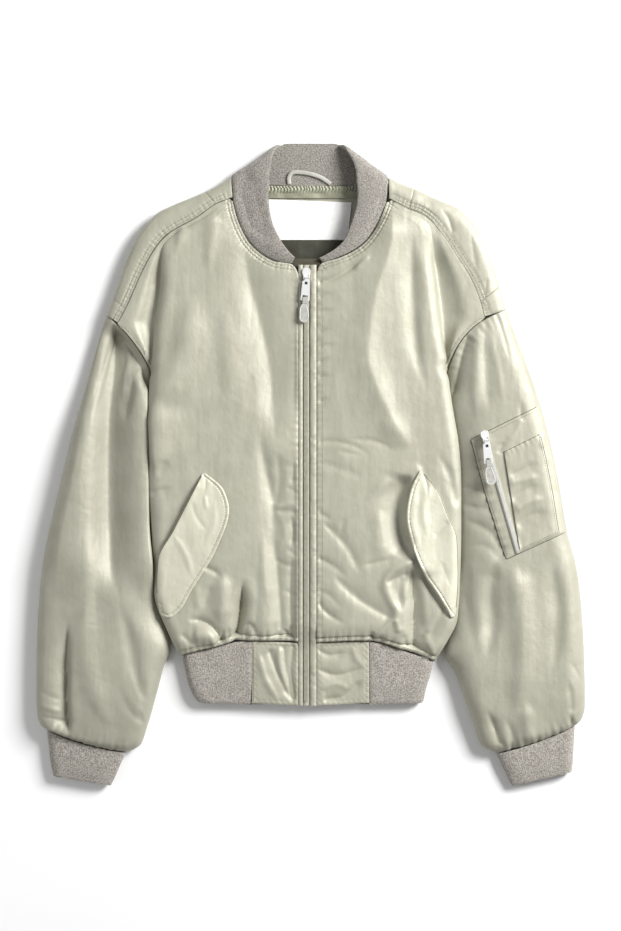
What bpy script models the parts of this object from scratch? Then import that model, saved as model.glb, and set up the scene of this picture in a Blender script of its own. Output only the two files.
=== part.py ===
"""Bomber jacket, zipped up and laid flat on its back.

+Z is up, +Y points to the collar and +X to the wearer's left sleeve. The floor
is z = 0 and the origin is the middle of the garment's footprint. Lengths in this
file are millimetres, and a mesh is scaled to metres when it is made. Tables give
places as "out", the distance from the middle towards the side they belong to,
and y. Every cloth piece is a grid of outer points with a second grid one wall
thickness inside it.
"""
import math

import bpy
import numpy as np
from mathutils import Matrix, Vector
from mathutils.bvhtree import BVHTree

# ---------------------------------------------------------------- driving sizes
MM = 0.001
RIGHT, LEFT = -1, 1     # the wearer's sides: the sign of X there
SATIN = 2.0             # wall of the body and sleeves
RIB = 3.0               # wall of the knitted collar, cuffs and hem
PATCH = 1.5             # wall of flaps and patch pockets
GAP = 0.3               # between pieces that meet at a seam
LIE = 0.5               # between a panel and what is sewn on top of it

BODY_TOP = 26.0         # the front's height over the floor
CENTRE_TOP = 24.0       # the front's height beside the zip
SEAM_TOP = 22.5         # height of the shoulder seam
NECK_TOP = 23.0         # height of the neck seam
RIB_TOP = 16.5          # height of the hem rib
FOLD_MID = 11.0         # height at which the shoulder folds over to the back
FOLD_RADIUS = 9.0
LIP = 26.0              # how far the front turns under at the side
LIP_START, LIP_FULL = 117.0, 62.0   # the turned lip grows between these below the underarm
TIP_CUT = 4.5           # the front's corner ends this far short of the collar
SEAM_START = 0.6        # and its other corner starts this far from the armhole

ZIP_X = -5.5            # the front zip's middle line
TAPE_HALF = 4.4
TAPE = 1.6              # thickness of the zip tape with its teeth
TAPE_DROP = 2.2         # the tape lies this far below the strips beside it
PLACKET = 2.2           # thickness of those strips
PLACKET_RIGHT = 5.4     # widths of the stitched strips on each side of the zip
PLACKET_LEFT = 7.6
HEM_Y = -302.0          # bottom of the hem at the zip
TAB_EDGE = {RIGHT: 74.0, LEFT: 73.0}    # outer edge of the satin tabs of the hem
NECK_Y = 249.5          # bottom of the neck opening
HEM_BACK_Y = -240.0     # bottom of the back panel
LIP_ROOM = 8.5          # the fronts' lips reach this far below it, above the hem rib's back seam
RIB_ROUND = 10.0        # how far the hem rib's folded sides round away
NECK_BACK_Y = 350.0     # seam of the back and the collar

# ------------------------------------------------------------------- tables
# Side of the body from the hem seam up to the underarm.
SIDE = {
    RIGHT: (("y", "out"),
            (-240, 163), (-229, 170), (-212, 178), (-192, 187), (-170, 195), (-120, 197),
            (-70, 200), (-20, 203), (18, 203), (68, 204), (93, 202.5), (117, 200.5)),
    LEFT: (("y", "out"),
           (-247, 155), (-229, 166), (-217, 173), (-202, 181), (-188, 184), (-129, 187),
           (-96, 188), (-20, 188), (24, 185), (55, 180), (87, 175), (117, 171)),
}
# Crease where the body front folds over towards the dropped shoulder.
CREASE = {
    RIGHT: (("y", "out"), (117, 200.5), (127, 199), (177, 194), (221, 188), (260, 186), (280, 182)),
    LEFT: (("y", "out"), (117, 171), (127, 170), (168, 163), (218, 157), (260, 152), (292, 150)),
}
# Shoulder strip: its front seam and the folded outer edge, sleeve end first.
SHOULDER = {
    RIGHT: (("seam_out", "seam_y", "edge_out", "edge_y"),
            (242, 177, 256, 186), (232, 195, 248, 207), (208, 248, 230, 258),
            (190, 277, 212, 294), (175, 291, 190, 316), (143, 309, 157, 331),
            (119, 326, 133, 341), (106, 331, 115, 350.5), (98, 333.5, 100.5, 359.5)),
    LEFT: (("seam_out", "seam_y", "edge_out", "edge_y"),
           (218, 184.5, 245.5, 192.5), (213, 204, 237, 222), (201, 233, 222, 268),
           (184, 260, 206, 298), (169, 283, 186, 320), (144, 311, 158, 332),
           (123, 320, 130, 345.5), (111, 326, 110, 353), (98, 332, 97.5, 359.5)),
}
# Neck seam of the front, and the collar's free edge, zip end first.
NECK = {
    RIGHT: (("out", "y"), (15.9, 249.5), (40, 252), (56, 259), (74, 273), (86, 292), (94, 313), (97.5, 328)),
    LEFT: (("out", "y"), (7.1, 249.5), (29, 256), (52, 266), (68, 278), (82, 297), (90, 314), (94.5, 327)),
}
COLLAR_EDGE = {
    RIGHT: (("out", "y"), (12, 250.5), (20, 258), (31, 270), (41, 286), (47, 299), (51, 315),
            (53, 334), (52, 350)),
    LEFT: (("out", "y"), (0, 250), (14, 259), (28, 267), (42, 281), (49, 299), (56, 319),
           (58, 337), (57, 352)),
}
# The collar's fold to the back: neck seam point and free edge point, front first.
COLLAR_FOLD = {
    RIGHT: (("neck_out", "neck_y", "neck_z", "edge_out", "edge_y", "edge_z"),
            (98.2, 342, 22.5, 52, 360, 25.5), (98.8, 352, 20.5, 50, 376, 23.5),
            (99.6, 358.5, 16.0, 47, 392, 19.0),
            (99.8, 361.5, 10.5, 41, 403, 11.5), (98.2, 361.2, 5.0, 39, 402.6, 5.5),
            (93.5, 358.8, 1.2, 36, 402, 1.2), (84.0, 355.0, 0.0, 31, 401.5, 0.0),
            (44.0, 351.0, 0.0, 17, 402, 0.0)),
    LEFT: (("neck_out", "neck_y", "neck_z", "edge_out", "edge_y", "edge_z"),
           (95.6, 342, 22.5, 57, 360, 25.5), (96.2, 352, 20.5, 54, 376, 23.5),
           (97.0, 358.5, 16.0, 47, 391, 19.0),
           (97.2, 361.5, 10.5, 40, 402.5, 11.5), (95.6, 361.2, 5.0, 38, 402.3, 5.5),
           (91.0, 358.8, 1.2, 35, 402, 1.2), (82.0, 355.0, 0.0, 30, 401.5, 0.0),
           (44.0, 351.0, 0.0, 16, 402, 0.0)),
}
# Seam of the front and the hem rib, and the bottom edge of the rib's side.
HEM_SEAM = {
    RIGHT: (("out", "y"), (0, -224), (71, -221.5), (91, -222), (115, -228), (140, -234), (163, -240)),
    LEFT: (("out", "y"), (0, -224), (71, -221.5), (91, -225), (115, -233), (140, -241), (155, -247)),
}
HEM_SIDE = {
    RIGHT: (("down", "out"), (0, 161), (21, 157), (38, 153), (51, 148), (60, 141)),
    LEFT: (("down", "out"), (0, 154), (12, 152.5), (30, 147), (45, 144), (60, 141)),
}
# Sleeve rings from the armhole to the cuff: outer edge, inner edge, how far the
# ring bows towards the shoulder, height of the top, and how far the inner edge is
# flattened where it lies under the body.
SLEEVE = {
    RIGHT: (("outer_out", "outer_y", "inner_out", "inner_y", "bow", "top", "tuck"),
            (256.0, 186, 201.6, 117.0, 5.5, 23, 1.0), (265, 158, 200.0, 92, 4.0, 25, 1.0),
            (276, 118, 196.0, 58, 2, 27, 1.0), (287, 80, 195.0, 25, 0, 28, 1.0),
            (299, 38, 195.0, -12, 0, 28, 1.0), (311, -11, 193.0, -55, 0, 28, 1.0),
            (321, -53, 190.5, -95, 0, 28, 1.0), (330, -92, 188.5, -130, 0, 28, 1.0),
            (336, -125, 188.0, -160, 0, 28, 1.0), (340.5, -170, 181.5, -193, 0, 28, 1.0),
            (343, -213, 175, -226, 0, 28, 0.6), (344, -257, 184, -252, 0, 29, 0.3),
            (344, -292, 194, -290, 0, 29, 0.0), (342.5, -316, 205, -328, -3, 27, 0.0),
            (338, -327, 214, -352, -6, 24, 0.0), (331.5, -332, 229, -360.5, -4, 18, 0.0)),
    LEFT: (("outer_out", "outer_y", "inner_out", "inner_y", "bow", "top", "tuck"),
           (245.5, 192.5, 171.4, 117.0, 15, 23, 1.0), (257, 160, 171.5, 96, 12, 25, 1.0),
           (272, 121, 169.5, 62, 6, 27, 1.0), (288, 74, 176.5, 19, 0, 28, 1.0),
           (300.5, 27, 179.5, -32, 0, 28, 1.0), (311.5, -26, 180.0, -88, 0, 28, 1.0),
           (321, -83, 178.0, -148, 0, 28, 1.0), (331, -120, 176.0, -183, 0, 28, 1.0),
           (337, -158, 171.0, -212, 0, 28, 1.0), (340.5, -196, 166.5, -236, 0, 29, 0.4),
           (342.5, -240, 181, -262, 0, 29, 0.2), (343.5, -280, 194, -298, 0, 29, 0.0),
           (343.5, -302, 205, -330, -2, 27, 0.0), (340, -318, 214, -353, -5, 24, 0.0),
           (332.5, -327, 231, -362, -3, 18, 0.0)),
}
SLEEVE_CUT = {RIGHT: 9, LEFT: 7}    # ring at which a sleeve's two lengths meet
CUFF = {
    RIGHT: (("outer_out", "outer_y", "inner_out", "inner_y", "bow", "top", "tuck"),
            (331.2, -333.0, 232, -361.5, -4, 17, 0), (329, -352, 238, -375, -2, 17, 0),
            (326.5, -374, 245, -391, -1, 16, 0), (323.5, -391, 251, -403, 0, 14, 0)),
    LEFT: (("outer_out", "outer_y", "inner_out", "inner_y", "bow", "top", "tuck"),
           (331.2, -328.0, 233, -363, -3, 17, 0), (330, -349, 239, -377, -2, 17, 0),
           (329, -370, 246, -391, -1, 16, 0), (327.5, -386, 252, -403, 0, 14, 0)),
}
# Main folds: ridges and, with a negative height, troughs, each along a line.
FRONT_FOLDS = {
    RIGHT: (("out0", "y0", "out1", "y1", "width", "height"),
            (176, 262, 118, 170, 16, 2.2), (150, 250, 96, 140, 14, -1.8),
            (186, 120, 150, 60, 12, 1.6), (110, 220, 60, 60, 22, 1.6),
            (188, 20, 150, -30, 10, -1.4), (70, 40, 40, -120, 18, -1.6),
            (96, -170, 93, -222, 4.5, -7.0), (84, -150, 70, -214, 8, 3.0),
            (150, -205, 112, -226, 7, 4.5), (158, -214, 124, -208, 5, -3.5),
            (120, -160, 106, -210, 7, -3.0), (50, -165, 46, -218, 8, -2.2),
            (30, -150, 34, -216, 7, 2.2), (136, -120, 112, -150, 9, -2.0)),
    LEFT: (("out0", "y0", "out1", "y1", "width", "height"),
           (140, 262, 100, 170, 16, 2.0), (120, 250, 70, 140, 14, -1.6),
           (165, 110, 118, 40, 12, 1.8), (150, 96, 100, 10, 12, -1.6),
           (90, 200, 50, 40, 22, 1.4), (176, 10, 130, -20, 9, 1.6),
           (112, -30, 104, -110, 9, -3.2), (96, -120, 92, -200, 7, 3.2),
           (118, -124, 122, -205, 6, 3.6), (108, -130, 106, -215, 5, -4.2),
           (80, -140, 74, -214, 6, -3.2), (140, -190, 116, -226, 6, 3.6),
           (60, -150, 52, -216, 8, 2.6), (36, -160, 34, -216, 7, -2.4),
           (150, -214, 128, -236, 5, -3.0)),
}
SLEEVE_FOLDS = {
    RIGHT: (("out0", "y0", "out1", "y1", "width", "height"),
            (236, 80, 226, -60, 15, -3.5), (226, -60, 224, -210, 14, -4.0),
            (272, 60, 276, -120, 13, 2.0), (290, -60, 270, -230, 14, 1.8),
            (250, 150, 262, 90, 8, -2.0), (222, 138, 240, 70, 8, 2.2),
            (304, -270, 303, -330, 5, -7.5), (286, -230, 280, -335, 10, 3.0),
            (255, -250, 262, -340, 9, -2.4), (232, -240, 240, -345, 9, 2.4),
            (205, -230, 222, -335, 7, -2.0)),
    LEFT: (("out0", "y0", "out1", "y1", "width", "height"),
           (222, 176, 250, 110, 8, 2.2), (206, 160, 232, 90, 8, -2.2),
           (190, 140, 205, 60, 9, 2.2), (196, 20, 198, -130, 12, -3.0),
           (226, -130, 222, -250, 13, 2.2), (262, -150, 252, -300, 13, -2.2),
           (300, -130, 292, -290, 14, 2.0), (253, -290, 252, -345, 5, -6.0),
           (323, -270, 324, -320, 5, -6.0), (280, -260, 284, -335, 10, 2.6),
           (212, -270, 226, -345, 8, 2.2)),
}
# Gathers along the front's hem seam: place, half width and height.
GATHERS = (("out", "width", "height"),
           (24, 5, 1.5), (44, 4, -1.6), (62, 5, 1.8), (78, 4, -2.0), (104, 4, 2.2),
           (116, 4, -2.4), (128, 4, 2.0), (144, 4, -2.2))
# Slanted pocket flaps: the seam and the free edge, top first.
FLAP = {
    RIGHT: {"seam": (("out", "y"), (134, -9), (153, -46), (172, -83), (191, -120), (192.5, -150),
                     (191.5, -171)),
            "free": (("out", "y"), (134, -9), (109, -32), (102, -57), (118, -106), (149, -158),
                     (164, -183), (178, -192), (189, -187), (191.5, -171))},
    LEFT: {"seam": (("out", "y"), (137, -6), (158, -33), (171, -64), (182.5, -94), (184, -140),
                    (181, -190)),
           "free": (("out", "y"), (137, -6), (124, -33), (119, -65), (125, -97), (141, -137),
                    (159, -164), (171, -184), (176, -191), (181, -190))},
}
# Utility pocket on the left sleeve, as shares of the way along and round it.
POCKET_TOP_RING, POCKET_BOTTOM_RING = 3, 6
POCKET_EDGE = (("along", "out"), (0, 200), (0.25, 209), (0.5, 219), (0.75, 231), (1, 244))
PEN_EDGE = (("along", "out"), (0, 235), (0.35, 243), (0.7, 252), (1, 260.5))
SLEEVE_ZIP = ((216.0, 37.0), (258.5, -110.0))     # out and y of its two ends
SLEEVE_TAPE_HALF = 3.6
FRONT_PIN_Y = 233.0
FRONT_PULL_TURN, FRONT_PULL_DROP = math.radians(-3.5), math.radians(0.8)
SLEEVE_PIN = (218.0, 30.0)
SLEEVE_SLIDER_TURN, SLEEVE_PULL_TURN = math.radians(12.0), math.radians(6.5)

COLOURS = {             # base colour, roughness, metallic
    "satin": ((0.56, 0.55, 0.45), 0.42, 0.0),
    "rib": ((0.38, 0.35, 0.31), 0.9, 0.0),
    "lining": ((0.05, 0.05, 0.035), 0.6, 0.0),
    "label": ((0.92, 0.92, 0.90), 0.6, 0.0),
    "tape": ((0.40, 0.39, 0.32), 0.7, 0.0),
    "metal": ((0.86, 0.86, 0.85), 0.25, 1.0),
    "rubber": ((0.75, 0.75, 0.70), 0.5, 0.0),
}


# ------------------------------------------------------------------- curves
def columns(table):
    """A table's rows as one array for each named column."""
    names, rows = table[0], np.array(table[1:], float)
    return {name: rows[:, i] for i, name in enumerate(names)}


def through(keys, values):
    """A smooth function through a table's points that never overshoots them."""
    keys, values = np.asarray(keys, float), np.asarray(values, float)
    step = np.diff(keys)
    rate = np.diff(values) / step
    slope = np.empty(len(keys))
    slope[0], slope[-1] = rate[0], rate[-1]
    for i in range(1, len(keys) - 1):
        turning = rate[i - 1] * rate[i] <= 0
        slope[i] = 0.0 if turning else 2 * rate[i - 1] * rate[i] / (rate[i - 1] + rate[i])

    def value(x):
        x = np.clip(x, keys[0], keys[-1])
        i = np.clip(np.searchsorted(keys, x) - 1, 0, len(keys) - 2)
        t, h = (x - keys[i]) / step[i], step[i]
        return ((1 + 2 * t) * (1 - t) ** 2 * values[i] + t * (1 - t) ** 2 * h * slope[i]
                + t * t * (3 - 2 * t) * values[i + 1] + t * t * (t - 1) * h * slope[i + 1])
    return value


def line(table, key, name):
    data = columns(table)
    return through(data[key], data[name])


def path(table):
    """A plan curve through (out, y) rows, as a function of the length along it."""
    data = columns(table)
    points = np.stack((data["out"], data["y"]), 1)
    length = np.concatenate(([0], np.cumsum(np.linalg.norm(np.diff(points, axis=0), axis=1))))
    out, y = through(length, points[:, 0]), through(length, points[:, 1])
    return (lambda at: np.array((out(at), y(at)))), length[-1]


def smooth(start, end, x):
    t = np.clip((x - start) / (end - start), 0, 1)
    return t * t * (3 - 2 * t)


def folds(table, out, y):
    """Height of all the folds in a table at one place."""
    total = 0.0
    for out0, y0, out1, y1, width, height in table[1:]:
        run, rise = out1 - out0, y1 - y0
        share = np.clip(((out - out0) * run + (y - y0) * rise) / (run * run + rise * rise), 0, 1)
        apart = (out - out0 - share * run) ** 2 + (y - y0 - share * rise) ** 2
        total += height * math.exp(-apart / width ** 2)
    return total


# ------------------------------------------------------------------- meshes
def unit(vectors):
    return vectors / np.maximum(np.linalg.norm(vectors, axis=-1, keepdims=True), 1e-9)


def tangents(grid, axis, around):
    """Directions along one axis of a grid, each the mean of its two neighbours'."""
    grid = np.moveaxis(grid, axis, 0)
    ahead = unit(np.roll(grid, -1, 0) - grid)
    behind = np.roll(ahead, 1, 0)
    if not around:
        ahead[-1] = behind[-1]
        behind[0] = ahead[0]
    return np.moveaxis(ahead + behind, 0, axis)


def moved_out(grid, distance, around=False):
    """The grid moved along its normals: out of the cloth, or in where negative."""
    normal = unit(np.cross(tangents(grid, 1, around), tangents(grid, 0, False)))
    return grid + distance * normal


def material(name):
    made = bpy.data.materials.get(name)
    if made is None:
        colour, roughness, metallic = COLOURS[name]
        made = bpy.data.materials.new(name)
        made.use_nodes = True
        shader = made.node_tree.nodes["Principled BSDF"]
        shader.inputs["Base Color"].default_value = (*colour, 1)
        shader.inputs["Roughness"].default_value = roughness
        shader.inputs["Metallic"].default_value = metallic
        made.diffuse_color = (*colour, 1)
    return made


def solid(name, points, faces, finish):
    """One closed mesh object from points in millimetres, with its faces out."""
    mesh = bpy.data.meshes.new(name)
    mesh.from_pydata([tuple(p) for p in np.asarray(points) * MM], [], faces)
    corners = np.asarray(points)
    volume = 0.0
    for face in faces:
        for a, b in zip(face[1:], face[2:]):
            volume += np.dot(corners[face[0]], np.cross(corners[a], corners[b]))
    if volume < 0:
        mesh.flip_normals()
    mesh.materials.append(material(finish))
    mesh.shade_smooth()
    mesh.set_sharp_from_angle(angle=math.radians(40))
    made = bpy.data.objects.new(name, mesh)
    bpy.context.collection.objects.link(made)
    return made


def wall(name, outer, inner, finish, around=False):
    """The closed body between two grids of points, both split along the same diagonals."""
    rows, cols = outer.shape[:2]
    count = rows * cols
    spans = cols if around else cols - 1
    faces = []

    def at(layer, row, col):
        return layer * count + row * cols + col % cols

    def split(a, b, c, d):
        faces.extend(((a, b, c), (a, c, d)))

    for row in range(rows - 1):
        for col in range(spans):
            a, b, c, d = (at(0, row, col), at(0, row, col + 1),
                          at(0, row + 1, col + 1), at(0, row + 1, col))
            split(a, b, c, d)
            faces.extend(((c + count, b + count, a + count), (d + count, c + count, a + count)))
    last, end = rows - 1, cols - 1
    for col in range(spans):
        split(at(0, 0, col + 1), at(0, 0, col), at(1, 0, col), at(1, 0, col + 1))
        split(at(0, last, col), at(0, last, col + 1), at(1, last, col + 1), at(1, last, col))
    if not around:
        for row in range(rows - 1):
            split(at(0, row, 0), at(0, row + 1, 0), at(1, row + 1, 0), at(1, row, 0))
            split(at(0, row + 1, end), at(0, row, end), at(1, row, end), at(1, row + 1, end))
    points = np.concatenate((outer.reshape(-1, 3), inner.reshape(-1, 3)))
    return solid(name, points, faces, finish)


def placed(side, out, y, z):
    return np.array((side * out, y, z), float)


def side_name(side):
    return "right" if side == RIGHT else "left"


# ------------------------------------------------------------------- sleeves
RING_POINTS = 26
CUFF_POINTS = 22


def ring_height(ring, share, upper):
    """Height of a sleeve ring's top or underside, share 0 to 1 from its outer edge."""
    width = math.hypot(ring["outer_out"] - ring["inner_out"], ring["outer_y"] - ring["inner_y"])
    from_outer, from_inner = share * width, (1 - share) * width
    inner_mid = 9.5 - 4.5 * ring["tuck"]
    outer_mid = min(FOLD_MID, ring["top"] / 2)
    middle = outer_mid + (inner_mid - outer_mid) * share

    def rise(distance, reach):
        return math.sqrt(max(0.0, 1 - (1 - min(1.0, distance / reach)) ** 2))

    if upper:
        full = rise(from_outer, 0.85 * ring["top"])
        full *= rise(from_inner, 22 + 38 * ring["tuck"]) ** (1 + 0.4 * ring["tuck"])
        return middle + (ring["top"] - middle) * full
    return middle * (1 - rise(from_outer, 11) * rise(from_inner, 8))


def ring_plan(ring, share):
    """Plan place of a sleeve ring's point, share 0 to 1 from its outer edge."""
    run = ring["inner_out"] - ring["outer_out"]
    rise = ring["inner_y"] - ring["outer_y"]
    width = math.hypot(run, rise)
    bow = ring["bow"] * 4 * share * (1 - share)
    out = ring["outer_out"] + share * run + bow * rise / width
    return out, ring["outer_y"] + share * rise - bow * run / width


def ring_shares(count):
    """Shares round a ring: across the top from the outer edge and back below."""
    turn = 2 * math.pi * np.arange(count) / count
    return (1 - np.cos(turn)) / 2, np.sin(turn) >= -1e-9


def ring_at(table, index):
    """A sleeve ring between two rows of the table."""
    data = columns(table)
    keys = np.arange(len(data["top"]))
    return {name: float(through(keys, values)(index)) for name, values in data.items()}


def tube_grid(side, table, indices, count):
    """Smooth outer points of a sleeve or cuff, ring by ring."""
    shares, upper = ring_shares(count)
    grid = np.empty((len(indices), count, 3))
    for row, index in enumerate(indices):
        ring = ring_at(table, index)
        for col in range(count):
            out, y = ring_plan(ring, shares[col])
            grid[row, col] = placed(side, out, y, ring_height(ring, shares[col], upper[col]))
    return grid


def tube_walls(side, smooth_grid, thickness, lift):
    """Outer and inner faces of a tube that rests on the floor, both lifted by its folds."""
    inner = moved_out(smooth_grid, -thickness if side == LEFT else thickness, around=True)
    inner[..., 2] = np.maximum(inner[..., 2], thickness)
    rise = np.zeros_like(smooth_grid)
    rise[..., 2] = lift
    return smooth_grid + rise, inner + rise


def sleeve_lift(side, indices, count):
    """Height that the folds add to each point of a sleeve, on its upper side alone."""
    shares, upper = ring_shares(count)
    last = len(SLEEVE[side]) - 2
    lift = np.zeros((len(indices), count))
    for row, index in enumerate(indices):
        ring = ring_at(SLEEVE[side], index)
        fade = smooth(0, 0.8, index) * smooth(last, last - 1, index)
        for col in range(count):
            if upper[col]:
                edge = min(1.0, 5 * shares[col], 4 * (1 - shares[col]))
                lift[row, col] = fade * edge * folds(SLEEVE_FOLDS[side], *ring_plan(ring, shares[col]))
    return lift


def make_sleeve(side):
    """The sleeve in two lengths that meet at a ring, so that each one's hulls leave it hollow."""
    cut = SLEEVE_CUT[side]
    ring, following = ring_at(SLEEVE[side], cut), ring_at(SLEEVE[side], cut + 1)
    apart = math.hypot(ring["outer_out"] - following["outer_out"], ring["outer_y"] - following["outer_y"])
    half = GAP / 2 / apart
    indices = ([0, 0.45] + list(range(1, cut)) + [cut - half, cut + half]
               + list(range(cut + 1, len(SLEEVE[side]) - 1)))
    grid = tube_grid(side, SLEEVE[side], indices, RING_POINTS)
    outer, inner = tube_walls(side, grid, SATIN, sleeve_lift(side, indices, RING_POINTS))
    lower = indices.index(cut + half)
    wall(f"sleeve_{side_name(side)}", outer[:lower], inner[:lower], "satin", around=True)
    wall(f"lower_sleeve_{side_name(side)}", outer[lower:], inner[lower:], "satin", around=True)
    return outer


def make_cuff(side):
    grid = tube_grid(side, CUFF[side], range(len(CUFF[side]) - 1), CUFF_POINTS)
    outer, inner = tube_walls(side, grid, RIB, 0.0)
    wall(f"cuff_{side_name(side)}", outer, inner, "rib", around=True)


# ------------------------------------------------------------------- fronts
def shoulder_station(side, at):
    """Seam and folded edge of the shoulder strip at a length along its seam."""
    data = columns(SHOULDER[side])
    steps = np.hypot(np.diff(data["seam_out"]), np.diff(data["seam_y"]))
    length = np.concatenate(([0], np.cumsum(steps)))
    values = {name: float(through(length, column)(at)) for name, column in data.items()}
    return values, length


def shoulder_lengths(side):
    """Places along the seam: the band's end, the strip's two ends and the neck."""
    length = shoulder_station(side, 0)[1]
    return length[1], length[-3], length[-1]


def shoulder_stations(side):
    band, tip, end = shoulder_lengths(side)
    main = np.linspace(band, tip, 9)
    return [SEAM_START, band / 2], list(main), [(tip + end - TIP_CUT) / 2, end - TIP_CUT, end]


def centre_x(side):
    """How far from the middle the front panel ends beside the zip."""
    if side == RIGHT:
        return -(ZIP_X - TAPE_HALF - PLACKET_RIGHT - 2 * GAP)
    return ZIP_X + TAPE_HALF + PLACKET_LEFT + 2 * GAP


def neck_point(side, share):
    """Where the row at this share of the shoulder seam meets the zip or the neck."""
    curve, length = path(NECK[side])
    low = shoulder_station(side, 0)[0]["seam_y"]
    corner = 0.36
    if share <= corner:
        return np.array((centre_x(side), low + (NECK_Y - low) * share / corner))
    return curve(length * (share - corner) / (1 - corner))


def front_rows(side):
    """Each row of a front: its outer end, its inner end and the kind of its side."""
    rows = []
    side_out = line(SIDE[side], "y", "out")
    bottom = SIDE[side][1][0]
    inner = centre_x(side)
    heights = [bottom + d for d in (0, 4, 9, 17, 29, 47, 70)] + list(np.linspace(-145, 62, 8)) + [78, 92, 105]
    for y in heights:
        rows.append(((float(side_out(y)), y), (inner, y), "side"))
    ring = ring_at(SLEEVE[side], 0)
    shares, upper = ring_shares(RING_POINTS)
    band_out, band_y = SHOULDER[side][1][:2]
    for share in sorted((float(s) for s, up in zip(shares, upper) if up), reverse=True):
        out, y = ring_plan(ring, share)
        if y < band_y - 4 and share < 0.975:
            rows.append(((out - 0.4, y + 0.4), (inner, y + 0.4), "armhole"))
    band, main, tip = shoulder_stations(side)
    end = tip[-1]
    for at in band + main + tip[:-1]:
        place = shoulder_station(side, at)[0]
        share = at / (end - TIP_CUT)
        rows.append(((place["seam_out"], place["seam_y"]), tuple(neck_point(side, share)), "shoulder"))
    return rows


UNDER = ((26, 0), (20, 0), (15.5, 1.2), (11, 5.0), (6.5, 10.0), (2.6, 14.5), (0, 19))
WING_SHARES = (0, 0.2, 0.42, 0.64, 0.82, 0.94, 1)
OVER = ((2.6, 23.4), (9.0, 25.6))
TOP_COLUMNS = 12


def side_shape(side, row):
    """Distance in from the row's end, and height, of the columns up to the side's edge."""
    (out, y), _, kind = row
    if kind == "side":
        turned = float(smooth(LIP_START, LIP_FULL, y))
        end_z = 5.0
    else:
        turned = 0.0
        ring = ring_at(SLEEVE[side], 0)
        width = math.hypot(ring["outer_out"] - ring["inner_out"], ring["outer_y"] - ring["inner_y"])
        share = 1 - math.hypot(out - ring["inner_out"], y - ring["inner_y"]) / width
        end_z = ring_height(ring, min(max(share, 0.0), 1.0), True) if kind == "armhole" else SEAM_TOP
        end_z = min(end_z, SEAM_TOP)
    crease = line(CREASE[side], "y", "out")
    wing = 0.0 if kind == "side" else max(out - float(crease(y)), 0.0)
    depth = float(smooth(CREASE[side][-1][0], CREASE[side][-1][0] - 45, y))
    if kind == "armhole":
        wing = max(wing, 5.0)
    if kind == "shoulder":
        wing = min(max(wing, 8.0 * (1 - depth)), 0.4 * math.dist(*row[:2]))
    low = 12.5 * depth + 22.8 * (1 - depth)
    tip = 19.0 * depth + 23.6 * (1 - depth)
    shape = []
    for (under, under_z), share in zip(UNDER, WING_SHARES):
        reach = wing * share
        z = end_z + (low - end_z) * float(smooth(0, 0.9, share))
        if share == 1:
            z = tip
        shape.append((turned * under + (1 - turned) * reach, turned * under_z + (1 - turned) * z))
    return shape, wing, tip


def front_grid(side):
    hem = line(HEM_SEAM[side], "out", "y")
    rows = front_rows(side)
    bottom = SIDE[side][1][0]
    grid = np.empty((len(rows), len(UNDER) + len(OVER) + TOP_COLUMNS, 3))
    lift = np.zeros(grid.shape[:2])
    for index, row in enumerate(rows):
        (out, y), (in_out, in_y), kind = row
        shape, wing, tip = side_shape(side, row)
        span = math.hypot(out - in_out, y - in_y)
        room = min(1.0, (span - wing) / 40)
        marks = list(shape) + [(wing + d * room, None) for d, _ in OVER]
        first = wing + OVER[-1][0] * room
        marks += [(first + (span - first) * k / TOP_COLUMNS, None) for k in range(1, TOP_COLUMNS + 1)]
        for col, (inward, z) in enumerate(marks):
            share = inward / span
            at_out, at_y = out + (in_out - out) * share, y + (in_y - y) * share
            if kind == "side":
                at_y += (float(hem(at_out)) - bottom) * max(0.0, 1 - (y - bottom) / 70)
            above = at_y - float(hem(at_out))
            if z is None:
                z = front_height(inward - wing, span - inward, tip, in_y)
                lift[index, col] = front_lift(side, at_out, at_y, inward - wing, span - inward, above)
            if kind == "side":
                z *= hem_share(above)
            if kind == "shoulder":
                z = SEAM_TOP + (z - SEAM_TOP) * min(1.0, span / 30)
            grid[index, col] = placed(side, at_out, at_y, z)
    return grid, lift


def hem_share(above):
    """Share of the front's height left where the cloth is drawn in to the hem rib."""
    seam = (RIB_TOP + 0.3) / BODY_TOP
    return seam + (1 - seam) * math.sqrt(min(1.0, max(0.0, above) / 16))


def front_height(from_edge, from_inner, edge_z, inner_y):
    """Height of the smooth front, away from its rolled side."""
    inner_top = CENTRE_TOP if inner_y < NECK_Y else NECK_TOP
    top = BODY_TOP
    top -= (BODY_TOP - inner_top) * (1 - min(1.0, from_inner / 40)) ** 2
    return top - (BODY_TOP - edge_z) * (1 - min(1.0, from_edge / 14)) ** 2.6


def front_lift(side, out, y, from_edge, from_inner, above):
    """Height that the folds and the gathers over the hem add to the front."""
    relief = folds(FRONT_FOLDS[side], out, y)
    for place, width, height in GATHERS[1:]:
        relief += height * math.exp(-((out - place) / width) ** 2 - max(0.0, above) / 26)
    relief *= float(smooth(0, 7, above))
    return relief * min(1.0, from_edge / 14) * min(1.0, from_inner / 14)


def make_front(side):
    grid, lift = front_grid(side)
    inner = moved_out(grid, -SATIN if side == RIGHT else SATIN)
    on_floor = grid[..., 2] <= 1e-6
    inner[on_floor, 2] = np.maximum(inner[on_floor, 2], SATIN)
    rows = front_rows(side)
    seamed = [kind != "side" for _, _, kind in rows]
    short = [kind == "shoulder" and math.dist(start, end) < 40 for start, end, kind in rows]
    inner[seamed, 0] = grid[seamed, 0] - (0, 0, SATIN)
    inner[short] = grid[short] - (0, 0, SATIN)
    rise = np.zeros_like(grid)
    rise[..., 2] = lift
    wall(f"front_{side_name(side)}", grid + rise, inner + rise, "satin")
    return grid + rise


# ----------------------------------------------------------- shoulder strips
FOLD_ANGLES = (-90, -55, -20, 15, 50, 90)


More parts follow.
